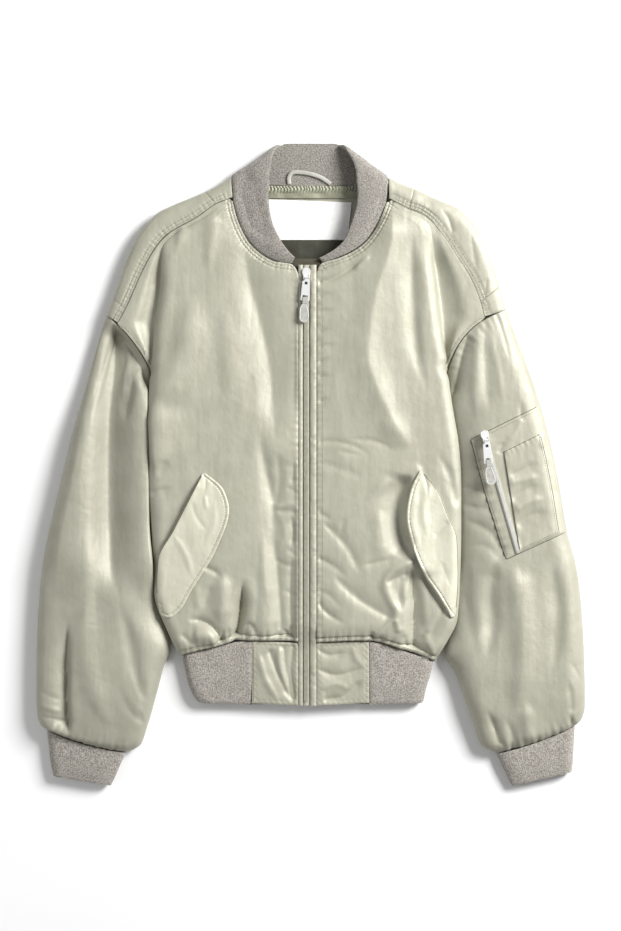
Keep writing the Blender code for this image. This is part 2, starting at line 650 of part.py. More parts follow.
def shoulder_section(place):
    """Outer points of the strip from its lip on the floor over the fold to its seam."""
    seam = np.array((place["seam_out"], place["seam_y"]))
    edge = np.array((place["edge_out"], place["edge_y"]))
    width = np.linalg.norm(seam - edge)
    inward = (seam - edge) / width
    marks = [(FOLD_RADIUS + 3, 0.0)]
    for angle in FOLD_ANGLES:
        turn = math.radians(angle)
        height = FOLD_MID if angle < 0 else SEAM_TOP - 0.8 - FOLD_MID
        marks.append((FOLD_RADIUS * (1 - math.cos(turn)), FOLD_MID + height * math.sin(turn)))
    marks.append((width - 0.35, SEAM_TOP))
    return [(*(edge + inward * distance), z) for distance, z in marks]


def make_shoulder(side, name, stations):
    outer = np.array([[placed(side, *point) for point in shoulder_section(shoulder_station(side, at)[0])]
                      for at in stations])
    inner = moved_out(outer, -SATIN if side == RIGHT else SATIN)
    inner[:, -1] = outer[:, -1] - (0, 0, SATIN)
    wall(f"shoulder_{name}_{side_name(side)}", outer, inner, "satin")


def make_shoulders(side):
    band, main, tip = shoulder_stations(side)
    band_end, tip_start, end = shoulder_lengths(side)
    half = GAP / 2
    make_shoulder(side, "band", band + [band_end - half])
    make_shoulder(side, "strip", [band_end + half] + main[1:-1] + [tip_start - half])
    make_shoulder(side, "tip", [tip_start + half] + tip)


# ------------------------------------------------------------------- back
def back_edge(side):
    """The back's side as (y, out) rows from the hem to the neck."""
    side_out = line(SIDE[side], "y", "out")
    rows = []
    for y in (HEM_BACK_Y, -215, -190, -150, -100, -50, 0, 50, 62, 70, 78, 85, 92, 99, 105, 111, 116):
        reach = LIP * float(smooth(LIP_START, LIP_FULL, y))
        clear = 0.8 + 6.0 * float(smooth(-140, -200, y))
        rows.append((y, float(side_out(max(y, SIDE[side][1][0]))) - reach - clear))
    ring = ring_at(SLEEVE[side], 0)
    width = math.hypot(ring["outer_out"] - ring["inner_out"], ring["outer_y"] - ring["inner_y"])
    for share in (0.9, 0.75, 0.6, 0.45, 0.3):
        if share * width > FOLD_RADIUS + 6:
            out, y = ring_plan(ring, share)
            rows.append((y + 0.8, out - 1.6))
    band, main, tip = shoulder_stations(side)
    for at in band + main + tip:
        place = shoulder_station(side, at)[0]
        out, y, _ = shoulder_section(place)[0]
        run, rise = place["seam_out"] - place["edge_out"], place["seam_y"] - place["edge_y"]
        far = 0.8 / math.hypot(run, rise)
        rows.append((y + rise * far, out + run * far))
    rows = [row for row in rows if row[0] < NECK_BACK_Y - 8]
    return rows + [(NECK_BACK_Y, SHOULDER[side][-1][2] - 6)]


def make_back():
    edges = {side: through(*zip(*back_edge(side))) for side in (RIGHT, LEFT)}
    levels = sorted([round(y, 1) for y, _ in back_edge(RIGHT)] + [202.0, 228.0])
    levels = [y for y, following in zip(levels, levels[1:] + [999]) if following - y > 1.5]
    bottom = np.empty((len(levels), 3, 3))
    for row, y in enumerate(levels):
        ends = -float(edges[RIGHT](y)), float(edges[LEFT](y))
        for col in range(3):
            bottom[row, col] = (ends[0] + (ends[1] - ends[0]) * col / 2, y, 0.0)
    top = bottom + np.array((0, 0, SATIN))
    wall("back", bottom, top, "satin")


# ------------------------------------------------------------------- hem rib
def make_hem_rib():
    """One band of rib round the back, from tab to tab across the rolled sides."""
    downs = (0.0, 20.0, 40.0, 54.0, 60.0)
    back_seam = HEM_BACK_Y - LIP_ROOM
    grid = []
    for down in downs:
        halves = {}
        for side in (RIGHT, LEFT):
            seam = line(HEM_SEAM[side], "out", "y")
            outline = line(HEM_SIDE[side], "down", "out")
            reach = float(outline(down))
            top = RIB_TOP - 2.0 * float(smooth(44, 60, down))
            mid = top / 2
            flat = reach - RIB_ROUND
            marks = [(TAB_EDGE[side] + (flat - TAB_EDGE[side]) * k / 4, top) for k in range(5)]
            for turn in np.radians((55, 20, -20, -55, -90)):
                marks.append((flat + RIB_ROUND * math.cos(turn), mid + mid * math.sin(turn)))
            marks += [(flat - flat * k / 4, 0.0) for k in (1, 2, 3)]
            half = []
            for out, z in marks:
                on_top = float(smooth(0, mid * 1.6, z))
                start = (float(seam(out)) - 0.4) * on_top + back_seam * (1 - on_top)
                bottom = HEM_Y + 0.5 + 0.03 * abs(out - 70)
                half.append(placed(side, out, start + (bottom - start) * down / downs[-1], z))
            halves[side] = half
        middle_y = back_seam + (HEM_Y + 2.5 - back_seam) * down / downs[-1]
        grid.append(halves[RIGHT] + [np.array((0.0, middle_y, 0.0))] + halves[LEFT][::-1])
    outer = np.array(grid)
    inner = moved_out(outer, -RIB)
    on_floor = outer[..., 2] <= 1e-6
    inner[on_floor, 2] = RIB
    wall("hem_rib", outer, inner, "rib")


# ------------------------------------------------------- centre front and tabs
CENTRE_LEVELS = (HEM_Y, -285, -262, -240, -229, -223, -216, -206, -190,
                 -150, -90, -30, 30, 90, 150, 200, 235, 249)
GUARD_LEVELS = (206, 222, 240, 257)


def centre_height(y):
    """Height of the strips beside the zip: low over the hem, full above it."""
    return RIB_TOP + 0.3 + (CENTRE_TOP - RIB_TOP - 0.3) * float(smooth(-232, -196, y))


def make_strip(name, start, end, drop, thickness, crown, finish, levels=CENTRE_LEVELS):
    """A long flat strip along the zip between two x, dropped below the fronts' height."""
    shares = (0, 0.5, 1)
    top = np.array([[(start + (end - start) * share, y,
                      centre_height(y) - drop + crown * math.sin(math.pi * share)) for share in shares]
                    for y in levels])
    wall(name, top, top - np.array((0, 0, thickness)), finish)


def make_centre():
    """Zip tape, the stitched strip on each side of it and the guard behind its top."""
    tape_right, tape_left = ZIP_X - TAPE_HALF, ZIP_X + TAPE_HALF
    make_strip("zip_tape", tape_right, tape_left, TAPE_DROP, TAPE, 0.3, "tape")
    make_strip("placket_right", tape_right - GAP - PLACKET_RIGHT, tape_right - GAP, 0, PLACKET, 0.5, "satin")
    make_strip("placket_left", tape_left + GAP, tape_left + GAP + PLACKET_LEFT, 0, PLACKET, 0.6, "satin")
    guard_drop = TAPE_DROP + TAPE + GAP
    make_strip("zip_guard", ZIP_X - 19, ZIP_X + 17, guard_drop, 1.6, 0.0, "satin", GUARD_LEVELS)


def make_tab(side):
    """Satin end of the hem beside the zip."""
    inner_edge = centre_x(side)
    outer_edge = TAB_EDGE[side] - GAP
    seam = line(HEM_SEAM[side], "out", "y")
    grid = np.empty((6, 8, 3))
    for row in range(6):
        for col in range(8):
            out = outer_edge + (inner_edge - outer_edge) * col / 7
            start = float(seam(out)) - 0.4
            end = HEM_Y + 0.05 * (out - inner_edge)
            y = start + (end - start) * row / 5
            puff = math.sin(math.pi * row / 5) * (0.6 + 0.5 * math.sin(2.4 * math.pi * col / 7 + row))
            z = RIB_TOP + 0.2 + (puff if 0 < col < 7 else 0)
            grid[row, col] = placed(side, out, y, z)
    wall(f"hem_tab_{side_name(side)}", grid, grid - np.array((0, 0, RIB)), "satin")


# ------------------------------------------------------------------- collar
def collar_stations(side):
    """Neck seam point and free edge point of each station, zip end first."""
    neck, neck_length = path(NECK[side])
    edge, edge_length = path(COLLAR_EDGE[side])
    band, main, tip = shoulder_stations(side)
    places = []
    start = 0.06 * neck_length
    for share in np.linspace(0, 1, 9):
        at = start + (neck_length - start) * share
        point, following = neck(at), neck(min(at + 1, neck_length))
        before = neck(max(at - 1, 0))
        along = (following - before) / np.linalg.norm(following - before)
        inside = np.array((-along[1], along[0]))
        seam = point + inside * 0.5
        free = edge(edge_length * (0.1 + 0.9 * share ** 1.1))
        places.append((seam[0], seam[1], NECK_TOP + 0.4, free[0], free[1], NECK_TOP + 3.4))
    return places + [tuple(row) for row in COLLAR_FOLD[side][1:]]


def make_collar():
    stations = [(side, place) for side in (RIGHT,) for place in collar_stations(side)]
    stations += [(side, place) for side in (LEFT,) for place in collar_stations(side)[::-1]]
    grid = np.empty((len(stations), 5, 3))
    for row, (side, place) in enumerate(stations):
        seam, free = placed(side, *place[:3]), placed(side, *place[3:])
        for col in range(5):
            share = col / 4
            point = seam + (free - seam) * share
            crown = min(2.0, 0.08 * np.linalg.norm(free - seam))
            point[2] += crown * math.sin(math.pi * share) * float(smooth(6, 18, point[2]))
            grid[row, col] = point
    inner = moved_out(grid, -RIB)
    on_floor = grid[..., 2] <= 1e-6
    inner[on_floor, 2] = RIB
    wall("collar", grid, inner, "rib")
    return grid


# ------------------------------------------------------------- inside the neck
def make_slab(name, corners, low, thickness, finish, rows=2, cols=2, wave=None):
    """A thin piece between four plan corners: lower left, lower right, upper right, upper left."""
    a, b, c, d = (np.array(corner, float) for corner in corners)
    top = np.empty((rows, cols, 3))
    for row in range(rows):
        for col in range(cols):
            u, v = col / (cols - 1), row / (rows - 1)
            x, y = (a * (1 - u) + b * u) * (1 - v) + (d * (1 - u) + c * u) * v
            rise = wave(u, v) if wave else 0
            top[row, col] = (x, y, low + thickness + rise)
    bottom = top.copy()
    bottom[..., 2] = low
    wall(name, top, bottom, finish)


def make_inside():
    make_slab("back_lining", ((-92, 205), (92, 205), (86, 281), (-86, 281)), SATIN + GAP, 1.0, "lining")
    make_slab("label", ((-56, 281.8), (46, 282.2), (51, 329), (-53, 333)), SATIN + GAP, 0.9, "label")

    def gathers(u, v):
        return 0.8 * math.sin(GATHER_COUNT * 2 * math.pi * u) * math.sin(math.pi * v)

    make_slab("neck_facing", ((-80, 334.2), (80, 334.2), (80, 349.2), (-80, 349.2)),
              SATIN + GAP, 1.8, "satin", rows=3, cols=4 * GATHER_COUNT + 1, wave=gathers)


GATHER_COUNT = 11       # ruches of the neck facing
LOOP_ROUTE = ((-27, 352.2, 4.4), (-27.5, 360, 4.9), (-24, 365.5, 5.2), (-12, 366.5, 5.2),
              (0, 364.5, 5.2), (12, 360.5, 5.0), (25, 352.2, 4.4))


def make_loop():
    """Hanger loop: a flat satin cord that lies on the inside of the collar."""
    route = np.array(LOOP_ROUTE, float)
    keys = np.arange(len(route))
    steps = np.linspace(0, len(route) - 1, 17)
    spine = np.stack([through(keys, route[:, axis])(steps) for axis in range(3)], 1)
    ahead = unit(np.gradient(spine, axis=0))
    across = unit(np.cross(ahead, (0, 0, 1)))
    up = np.cross(across, ahead)
    turns = np.linspace(0, 2 * math.pi, 8, endpoint=False)
    ring = [(2.6 * math.cos(t), 1.1 * math.sin(t)) for t in turns]
    points = [spine[i] + across[i] * a + up[i] * b for i in range(len(spine)) for a, b in ring]
    count, last = len(ring), len(spine) - 1
    faces = [tuple(range(count)), tuple(last * count + k for k in reversed(range(count)))]
    for i in range(last):
        for k in range(count):
            n = (k + 1) % count
            faces.append((i * count + n, i * count + k, (i + 1) * count + k, (i + 1) * count + n))
    solid("hanger_loop", points, faces, "satin")


# --------------------------------------------------------- pockets and flaps
def surface_tree(grid):
    """A grid's triangles, to find the height of the cloth under a place."""
    rows, cols = grid.shape[:2]
    index = np.arange(rows * cols).reshape(rows, cols)
    faces = []
    for row in range(rows - 1):
        for col in range(cols - 1):
            a, b, c, d = index[row:row + 2, col:col + 2].ravel()[[0, 1, 3, 2]].tolist()
            faces += [(a, b, c), (a, c, d)]
    return BVHTree.FromPolygons([tuple(p) for p in grid.reshape(-1, 3)], faces)


def height_under(trees, x, y):
    """Height of the topmost of several surfaces at a place."""
    hits = [tree.ray_cast(Vector((x, y, 90.0)), Vector((0, 0, -1)))[0] for tree in trees]
    return max([hit.z for hit in hits if hit], default=0.0)


def laid_on(name, plan, trees, thickness, finish, clear=LIE):
    """A patch over a plan grid of places, raised until it clears the cloth below it."""
    low = np.array([[(x, y, height_under(trees, x, y) + clear) for x, y in row] for row in plan])
    marks = np.linspace(0, 1, 5)
    for _ in range(3):
        lack = np.zeros(low.shape[:2])
        for row in range(low.shape[0] - 1):
            for col in range(low.shape[1] - 1):
                a, b, c, d = (low[row, col], low[row, col + 1], low[row + 1, col + 1], low[row + 1, col])
                worst = 0.0
                for u in marks:
                    for v in marks:
                        x, y, z = (a + (b - a) * u + (c - b) * v if u >= v
                                   else a + (d - a) * v + (c - d) * u)
                        worst = max(worst, height_under(trees, x, y) + clear - z)
                lack[row:row + 2, col:col + 2] = np.maximum(lack[row:row + 2, col:col + 2], worst)
        low[..., 2] += lack
    top = low + np.array((0, 0, thickness))
    wall(name, top, low, finish)
    return surface_tree(top)


def make_flap(side, tree):
    seam, seam_length = path(FLAP[side]["seam"])
    free, free_length = path(FLAP[side]["free"])
    plan = np.empty((13, 7, 2))
    for row in range(13):
        share = 0.03 + 0.94 * row / 12
        start, end = seam(share * seam_length), free(share * free_length)
        for col in range(7):
            out, y = start + (end - start) * col / 6
            plan[row, col] = (side * out, y)
    laid_on(f"flap_{side_name(side)}", plan, [tree], PATCH, "satin")


def pocket_point(ring_index, out):
    """A sleeve ring's plan point at a given distance out."""
    ring = ring_at(SLEEVE[LEFT], ring_index)
    share = (ring["outer_out"] - out) / (ring["outer_out"] - ring["inner_out"])
    return ring_plan(ring, share)


def make_sleeve_patch(name, edge_table, first, last, outer_margin, rows, cols, trees):
    """A patch pocket from its slanted front edge to near the sleeve's outer fold."""
    edge = line(edge_table, "along", "out")
    plan = np.empty((rows, cols, 2))
    for row in range(rows):
        along = first + (last - first) * row / (rows - 1)
        index = POCKET_TOP_RING + (POCKET_BOTTOM_RING - POCKET_TOP_RING) * along
        start = float(edge(along))
        end = ring_at(SLEEVE[LEFT], index)["outer_out"] - outer_margin
        for col in range(cols):
            plan[row, col] = pocket_point(index, start + (end - start) * col / (cols - 1))
    return laid_on(name, plan, trees, PATCH, "satin")


def make_sleeve_zip(trees):
    (start_x, start_y), (end_x, end_y) = SLEEVE_ZIP
    along = np.array((end_x - start_x, end_y - start_y))
    across = np.array((-along[1], along[0])) / np.linalg.norm(along)
    plan = np.array([[np.array((start_x, start_y)) + along * (row / 9) + across * SLEEVE_TAPE_HALF * side
                      for side in (1, 0, -1)] for row in range(10)])
    return laid_on("sleeve_zip_tape", plan, trees, 1.2, "tape")


def make_sleeve_pockets(sleeve):
    """The left sleeve's pocket, its zip and the pen pocket over them, each on the last."""
    trees = [surface_tree(sleeve)]
    trees.append(make_sleeve_patch("sleeve_pocket", POCKET_EDGE, 0, 1, 3.0, 11, 9, trees))
    trees.append(make_sleeve_zip(trees))
    trees.append(make_sleeve_patch("pen_pocket", PEN_EDGE, 0.22, 0.985, 10.0, 8, 6, trees))
    return trees


# ------------------------------------------------------------- sliders and pulls
PIN_RADIUS = 0.75
PULL_THICK = 1.5
PULL_LENGTH = 29.0
TAG_END = 56.5
PIN_RISE = 6.6          # the pin's height over the slider's underside
BASE_THICK = 2.6        # the slider's base, and its head plate on top
HEAD_THICK = 1.6
LUG_IN, LUG_OUT = 2.8, 3.8      # each lug's two faces, out from the slider's middle
EYE_RADIUS = 1.9        # the pull's eye round the pin
WINDOW = (-27.0, -22.4)         # the window at the pull's end, along its length
WINDOW_HALF = 3.5
TAG_ROUND = 6.2         # radius of the tag's round end
TAG_HALF_THICK = 1.1
TAG_LOOP_HALF = 1.9     # half height of the tag where it loops round the pull's end


def prism(name, outline, low, high, finish):
    """A flat plate: a plan outline between two heights."""
    count = len(outline)
    points = [(x, y, low) for x, y in outline] + [(x, y, high) for x, y in outline]
    faces = [tuple(reversed(range(count))), tuple(range(count, 2 * count))]
    faces += [(k, (k + 1) % count, count + (k + 1) % count, count + k) for k in range(count)]
    return solid(name, points, faces, finish)


def block(name, x, y, z, finish):
    outline = ((x[0], y[0]), (x[1], y[0]), (x[1], y[1]), (x[0], y[1]))
    return prism(name, outline, z[0], z[1], finish)


def pin(name, radius, half_length, finish):
    """A round bar along X through the origin."""
    turns = np.linspace(0, 2 * math.pi, 12, endpoint=False)
    count = len(turns)
    points = [(x, radius * math.cos(t), radius * math.sin(t))
              for x in (-half_length, half_length) for t in turns]
    faces = [tuple(range(count)), tuple(reversed(range(count, 2 * count)))]
    faces += [((k + 1) % count, k, count + k, count + (k + 1) % count) for k in range(count)]
    return solid(name, points, faces, finish)


def combine(target, tool, operation):
    """Unites the tool with the target, or cuts it out, and hides the tool."""
    step = target.modifiers.new(operation.lower(), "BOOLEAN")
    step.operation = operation
    step.solver = "EXACT"
    step.object = tool
    tool.hide_render = True
    tool.display_type = "WIRE"
    tool.parent = target


def make_slider(name):
    """Slider body with two lugs and the pin between them; the origin is on the pin."""
    low = -PIN_RISE
    top = low + BASE_THICK + HEAD_THICK
    body = block(name, (-3.9, 3.9), (-4.0, 10.0), (low, low + BASE_THICK), "metal")
    head = prism(f"{name}_head", ((-3.6, -5.0), (3.6, -5.0), (4.4, 3.0), (5.3, 7.0), (4.4, 11.0), (0, 12.6),
                                  (-4.4, 11.0), (-5.3, 7.0), (-4.4, 3.0)), low + BASE_THICK - 0.1, top, "metal")
    combine(body, head, "UNION")
    for side in (-1, 1):
        faces = sorted((side * LUG_IN, side * LUG_OUT))
        lug = block(f"{name}_lug_{side + 1}", faces, (-1.5, 3.4), (top - 0.1, 1.3), "metal")
        combine(body, lug, "UNION")
    combine(body, pin(f"{name}_pin", PIN_RADIUS, LUG_IN + 0.5, "metal"), "UNION")
    return body


def make_pull(name):
    """Metal pull: an eye round the pin, a tapered plate and a window for the tag."""
    half = PULL_THICK / 2
    right_edge = ((2.0, 2.0), (2.0, -3.6), (4.7, -5.0), (5.8, -PULL_LENGTH + 0.8), (5.2, -PULL_LENGTH))
    outline = [(-x, y) for x, y in right_edge] + list(right_edge[::-1])
    plate = prism(name, outline, -half, half, "metal")
    eye = pin(f"{name}_eye", EYE_RADIUS, 1.9, "metal")
    combine(plate, eye, "UNION")
    combine(plate, pin(f"{name}_bore", PIN_RADIUS + GAP, 5.0, "metal"), "DIFFERENCE")
    window = block(f"{name}_window", (-WINDOW_HALF, WINDOW_HALF), WINDOW, (-3, 3), "metal")
    combine(plate, window, "DIFFERENCE")
    return plate


def make_tag(name):
    """Moulded tag that loops through the pull's window and widens to a round end."""
    round_end = [(TAG_ROUND * math.cos(a), -TAG_END + TAG_ROUND + TAG_ROUND * math.sin(a))
                 for a in np.radians(np.linspace(0, -180, 9))]
    outline = [(-3.1, -PULL_LENGTH - GAP), *((-x, y) for x, y in round_end), (3.1, -PULL_LENGTH - GAP)]
    tag = prism(name, outline[::-1], -TAG_HALF_THICK, TAG_HALF_THICK, "rubber")
    loop = block(f"{name}_loop", (-3.0, 3.0), (-PULL_LENGTH - 4, -24.6),
                 (-TAG_LOOP_HALF, TAG_LOOP_HALF), "rubber")
    combine(tag, loop, "UNION")
    slot = block(f"{name}_slot", (-4.0, 4.0), (-PULL_LENGTH - GAP, WINDOW[0] + GAP), (-1.05, 1.05), "rubber")
    combine(tag, slot, "DIFFERENCE")
    return tag


def make_zip_hardware(prefix, place, zip_turn, pull_turn, pull_drop):
    """Slider, pull and tag at a pin's place; turns are about Z, the drop tips the pull."""
    slider = make_slider(f"{prefix}_slider")
    slider.matrix_world = Matrix.Translation(place) @ Matrix.Rotation(zip_turn, 4, "Z")
    pull, tag = make_pull(f"{prefix}_pull"), make_tag(f"{prefix}_tag")
    pull.matrix_world = (Matrix.Translation(place) @ Matrix.Rotation(pull_turn, 4, "Z")
                         @ Matrix.Rotation(pull_drop, 4, "X"))
    tag.parent = pull


# ------------------------------------------------------------------- jacket
def main():
    for item in list(bpy.data.objects):
        bpy.data.objects.remove(item, do_unlink=True)
    fronts, sleeves = {}, {}
    for side in (RIGHT, LEFT):
        fronts[side] = make_front(side)
        sleeves[side] = make_sleeve(side)
        make_cuff(side)
        make_shoulders(side)
        make_tab(side)
        make_flap(side, surface_tree(fronts[side]))
    make_back()
    make_hem_rib()
    make_centre()
    make_collar()
    make_inside()
    make_loop()
    trees = make_sleeve_pockets(sleeves[LEFT])
    front_pin = Vector((ZIP_X, FRONT_PIN_Y, CENTRE_TOP - TAPE_DROP + 2 * GAP + PIN_RISE)) * MM
    make_zip_hardware("front_zip", front_pin, 0.0, FRONT_PULL_TURN, FRONT_PULL_DROP)
    turned = Matrix.Rotation(SLEEVE_SLIDER_TURN, 3, "Z")
    under = [turned @ Vector((x, y, 0)) for x in np.linspace(-5.3, 5.3, 11)
             for y in np.linspace(-5, 12.6, 11)]
    lift = max(height_under(trees, SLEEVE_PIN[0] + spot.x, SLEEVE_PIN[1] + spot.y) for spot in under)
    sleeve_pin = Vector((*SLEEVE_PIN, lift + GAP + PIN_RISE)) * MM
    make_zip_hardware("sleeve_zip", sleeve_pin, SLEEVE_SLIDER_TURN, SLEEVE_PULL_TURN, 0.0)


main()
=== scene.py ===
"""Looks of the bomber jacket that lies zipped on its back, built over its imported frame.

The frame is in metres: +Z is up, +Y points to the collar and +X to the wearer's
left sleeve. Lengths in this file are millimetres and a mesh is scaled to metres
when it is made. The tables of the panels repeat the values that the solids are
made from. Creases are routes in the pixels of the view, which seen() turns into
places on the cloth.
"""
import math

import bpy
import numpy as np
from mathutils import Matrix, Vector
from mathutils.bvhtree import BVHTree


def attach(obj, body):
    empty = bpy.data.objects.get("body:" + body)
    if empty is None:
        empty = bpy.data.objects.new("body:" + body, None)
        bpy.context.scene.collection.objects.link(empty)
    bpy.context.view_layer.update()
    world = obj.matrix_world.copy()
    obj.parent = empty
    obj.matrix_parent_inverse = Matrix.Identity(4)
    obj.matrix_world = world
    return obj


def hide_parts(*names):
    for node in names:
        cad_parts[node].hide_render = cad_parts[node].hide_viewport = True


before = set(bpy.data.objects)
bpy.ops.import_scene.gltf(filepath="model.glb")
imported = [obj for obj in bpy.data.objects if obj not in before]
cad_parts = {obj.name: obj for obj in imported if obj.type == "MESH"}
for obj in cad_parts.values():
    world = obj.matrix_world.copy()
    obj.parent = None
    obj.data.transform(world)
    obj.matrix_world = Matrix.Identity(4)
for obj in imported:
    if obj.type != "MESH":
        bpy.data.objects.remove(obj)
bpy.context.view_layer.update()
BODY, FRONT_PULLER, SLEEVE_PULLER = "root", "front_zip_puller", "sleeve_zip_puller"

# ---------------------------------------------------------------- driving sizes
MM = 0.001
RIGHT, LEFT = -1, 1     # the wearer's sides: the sign of X there
NAME = {RIGHT: "right", LEFT: "left"}
SATIN = 2.0             # wall of the body and sleeves
RIB = 3.0               # wall of the knitted collar, cuffs and hem
PATCH = 1.5             # wall of flaps and patch pockets
GAP = 0.3               # between pieces that meet at a seam

BODY_TOP = 26.0         # the front's height over the floor
CENTRE_TOP = 24.0       # the front's height beside the zip
SEAM_TOP = 22.5         # height of the shoulder seam
NECK_TOP = 23.0         # height of the neck seam
RIB_TOP = 16.5          # height of the hem rib
HEM_TOP = RIB_TOP + 0.3     # the fronts' height at the hem rib's seam
FOLD_MID = 11.0         # height at which the shoulder folds over to the back
FOLD_RADIUS = 9.0
LIP = 26.0              # how far the front turns under at the side
LIP_START, LIP_FULL = 117.0, 62.0   # the turned lip grows between these below the underarm
TIP_CUT = 4.5           # the front's corner ends this far short of the collar
SEAM_START = 0.6        # and its other corner starts this far from the armhole

ZIP_X = -5.5            # the front zip's middle line
TAPE_HALF = 4.4
TAPE = 1.6              # thickness of the zip tape
TAPE_DROP = 2.2         # the tape lies this far below the strips beside it
PLACKET = 2.2           # thickness of those strips
PLACKET_RIGHT = 5.4     # widths of the stitched strips on each side of the zip
PLACKET_LEFT = 7.6
HEM_Y = -302.0          # bottom of the hem at the zip
TAB_EDGE = {RIGHT: 74.0, LEFT: 73.0}    # outer edge of the satin tabs of the hem
NECK_Y = 249.5          # bottom of the neck opening
HEM_BACK_Y = -240.0     # bottom of the back panel
LIP_ROOM = 8.5          # the fronts' lips reach this far below it, above the hem rib's back seam
RIB_ROUND = 10.0        # how far the hem rib's folded sides round away
NECK_BACK_Y = 350.0     # seam of the back and the collar
RIB_BACK_Y = HEM_BACK_Y - LIP_ROOM      # seam of the hem rib and the back
SEAM_TUCK = 0.4         # a seamed edge lies this far beyond its line

# How finely the cloth is modelled.
CLOTH_STEP, STRIP_STEP, PATCH_STEP, RIB_STEP, CUFF_STEP, COLLAR_STEP = 2.1, 1.5, 1.5, 1.7, 1.6, 1.4
EDGE_STEP = 1.1         # spacing near the dense ends of a grid
RING_POINTS = 26        # round the armhole, for the rows of a front
RING_STEPS, CUFF_STEPS = 156, 150       # round a sleeve and a cuff
BACK_LEVELS, BACK_COLUMNS = 130, 84
FLAP_GRID = (130, 44)   # rows and columns
SEWN_POINTS = 60        # of a route that is sewn along
ALL_EDGES = ("start", "end", "left", "right")
FAR, TINY = 1e18, 1e-9  # more and less than any distance here
ON_FLOOR = 0.05         # cloth below this height lies on the floor
ABOVE_ALL = 90.0        # heights are looked for from here downwards
CLOTH_SHARP, DETAIL_SHARP = 48, 50      # edges sharper than this are not smoothed, in degrees
LEAST_CUT = 0.0101      # least side of a sheet's worked-out cut, in metres
LEAST_CUT_SHARE = 0.31  # least share of its rectangle that a sheet's worked-out area is raised to

# Section of a sleeve ring: its middle at the inner edge, and the reach of its rounded edges.
INNER_MID, TUCK_DROP = 9.5, 4.5
OUTER_ROUND = 0.85      # share of the ring's height
INNER_ROUND, TUCK_ROUND, TUCK_CURVE = 22, 38, 0.4
UNDER_ROUND = (11, 8)

# Section of a front: rows by their height over the hem, or by y, and columns from its side.
HEM_ROWS = (0, 4, 9, 17, 29, 47, 70)
MIDDLE_ROWS = (-145, 62, 8)     # first, last and count
UNDERARM_ROWS = (78, 92, 105)
NECK_CORNER = 0.36      # share of the shoulder seam whose rows end at the zip
UNDER = ((26, 0), (20, 0), (15.5, 1.2), (11, 5.0), (6.5, 10.0), (2.6, 14.5), (0, 19))   # turned under
WING_SHARES = (0, 0.2, 0.42, 0.64, 0.82, 0.94, 1)   # the same columns on a wing beyond the crease
OVER = (2.6, 9.0)       # columns just inside the fold
TOP_COLUMNS = 12
SIDE_END = 5.0          # height of the front's end at its side where nothing turns under
WING_FADE = 45          # the wing beyond the crease fades over this far below the crease's top
WING_LOW, WING_TIP = (13.0, 22.8), (19.0, 23.6)     # heights inside and on the crease, deep and shallow
LEAST_ARMHOLE_WING, LEAST_WING = 5.0, 8.0
MOST_WING = 0.4         # share of its row
CENTRE_SLOPE, SEAM_SLOPE, EDGE_SLOPE = 40, 30, 14   # how far in the front reaches its full height
HEM_ROUND = 16          # the cloth rounds down to the hem rib over this far
HEM_BEADS = ((2.6, 1.7, 0.9), (6.0, 1.1, -1.0))     # place over the hem, width and height
FOLD_ANGLES = (-90, -55, -20, 15, 50, 90)           # round the fold of the shoulder strip

BACK_ROWS = (HEM_BACK_Y, -215, -190, -150, -100, -50, 0, 50, 62, 70, 78, 85, 92, 99, 105, 111, 116)
BACK_CLEAR, HEM_CLEAR = 0.8, 6.0    # the back stays this far inside the fronts, and more at the hem
HEM_CLEAR_Y = (-140, -200)          # y over which that grows
BACK_SHARES = (0.9, 0.75, 0.6, 0.45, 0.3)           # of the armhole, for rows of the back
HEM_DOWNS = (0.0, 20.0, 40.0, 54.0, 60.0)           # rows of the hem rib, from its seam down
RIB_THINS, RIB_THINS_FROM = 2.0, 44     # the hem rib gets this much lower from this row on
HEM_CLIMB = (-232, -196)                # y over which the strips beside the zip rise
GUARD_X, GUARD_Y = (ZIP_X - 19, ZIP_X + 17), (206.0, 257.0)

# Inside the neck: corners from the lower left, counter-clockwise.
INSIDE_LOW = SATIN + GAP        # they lie on the back's wall
LINING_CORNERS = ((-92, 205), (92, 205), (86, 281), (-86, 281))
LABEL_CORNERS = ((-56, 281.8), (46, 282.2), (51, 329), (-53, 333))
LABEL_SIZE = (102, 50)
FACING_CORNERS = ((-80, 334.2), (80, 334.2), (80, 349.2), (-80, 349.2))
GATHER_COUNT = 40       # ruches of the neck facing
LOOP_ROUTE = ((-27, 352.2, 4.4), (-27.5, 360, 4.9), (-24, 365.5, 5.2), (-12, 366.5, 5.2),
              (0, 364.5, 5.2), (12, 360.5, 5.0), (25, 352.2, 4.4))
LOOP_WIDTH, LOOP_HALF_THICK = 5.2, 0.8

# Pockets and flaps.
SOFTENINGS = 3          # how often the cloth under a patch is evened out
FLAP_LIFT = {RIGHT: 1.2, LEFT: 6.5}     # how far a flap's free edge stands off the front
FLAP_ROLL = {RIGHT: 5.5, LEFT: 1.5}     # how much fuller it is along its seam

# Zips: a tooth's outline as shares of its half width and pitch, and its lower and upper height.
TOOTH = ((-0.6, -0.31), (0.4, -0.31), (0.65, 0.0), (0.4, 0.31), (-0.6, 0.31))
TOOTH_HEIGHTS = (-0.1, 0.95)
ZIP_TEETH_Y, ZIP_PITCH, SLEEVE_ZIP_PITCH = (-296.0, 246.0), 1.5, 1.3
ZIP_STITCHES = {RIGHT: 14.3, LEFT: 8.7}     # x of two rows of stitches, both on the left front
STITCH = ((0.0, 0.45), (0.22, 1.0), (0.78, 1.0), (1.0, 0.45))   # a stitch's place and thickness
STITCH_SIDES = 4
STITCH_CLIMB, STITCH_LOW = 3, 0.5       # no stitch climbs more than this or lies lower than that

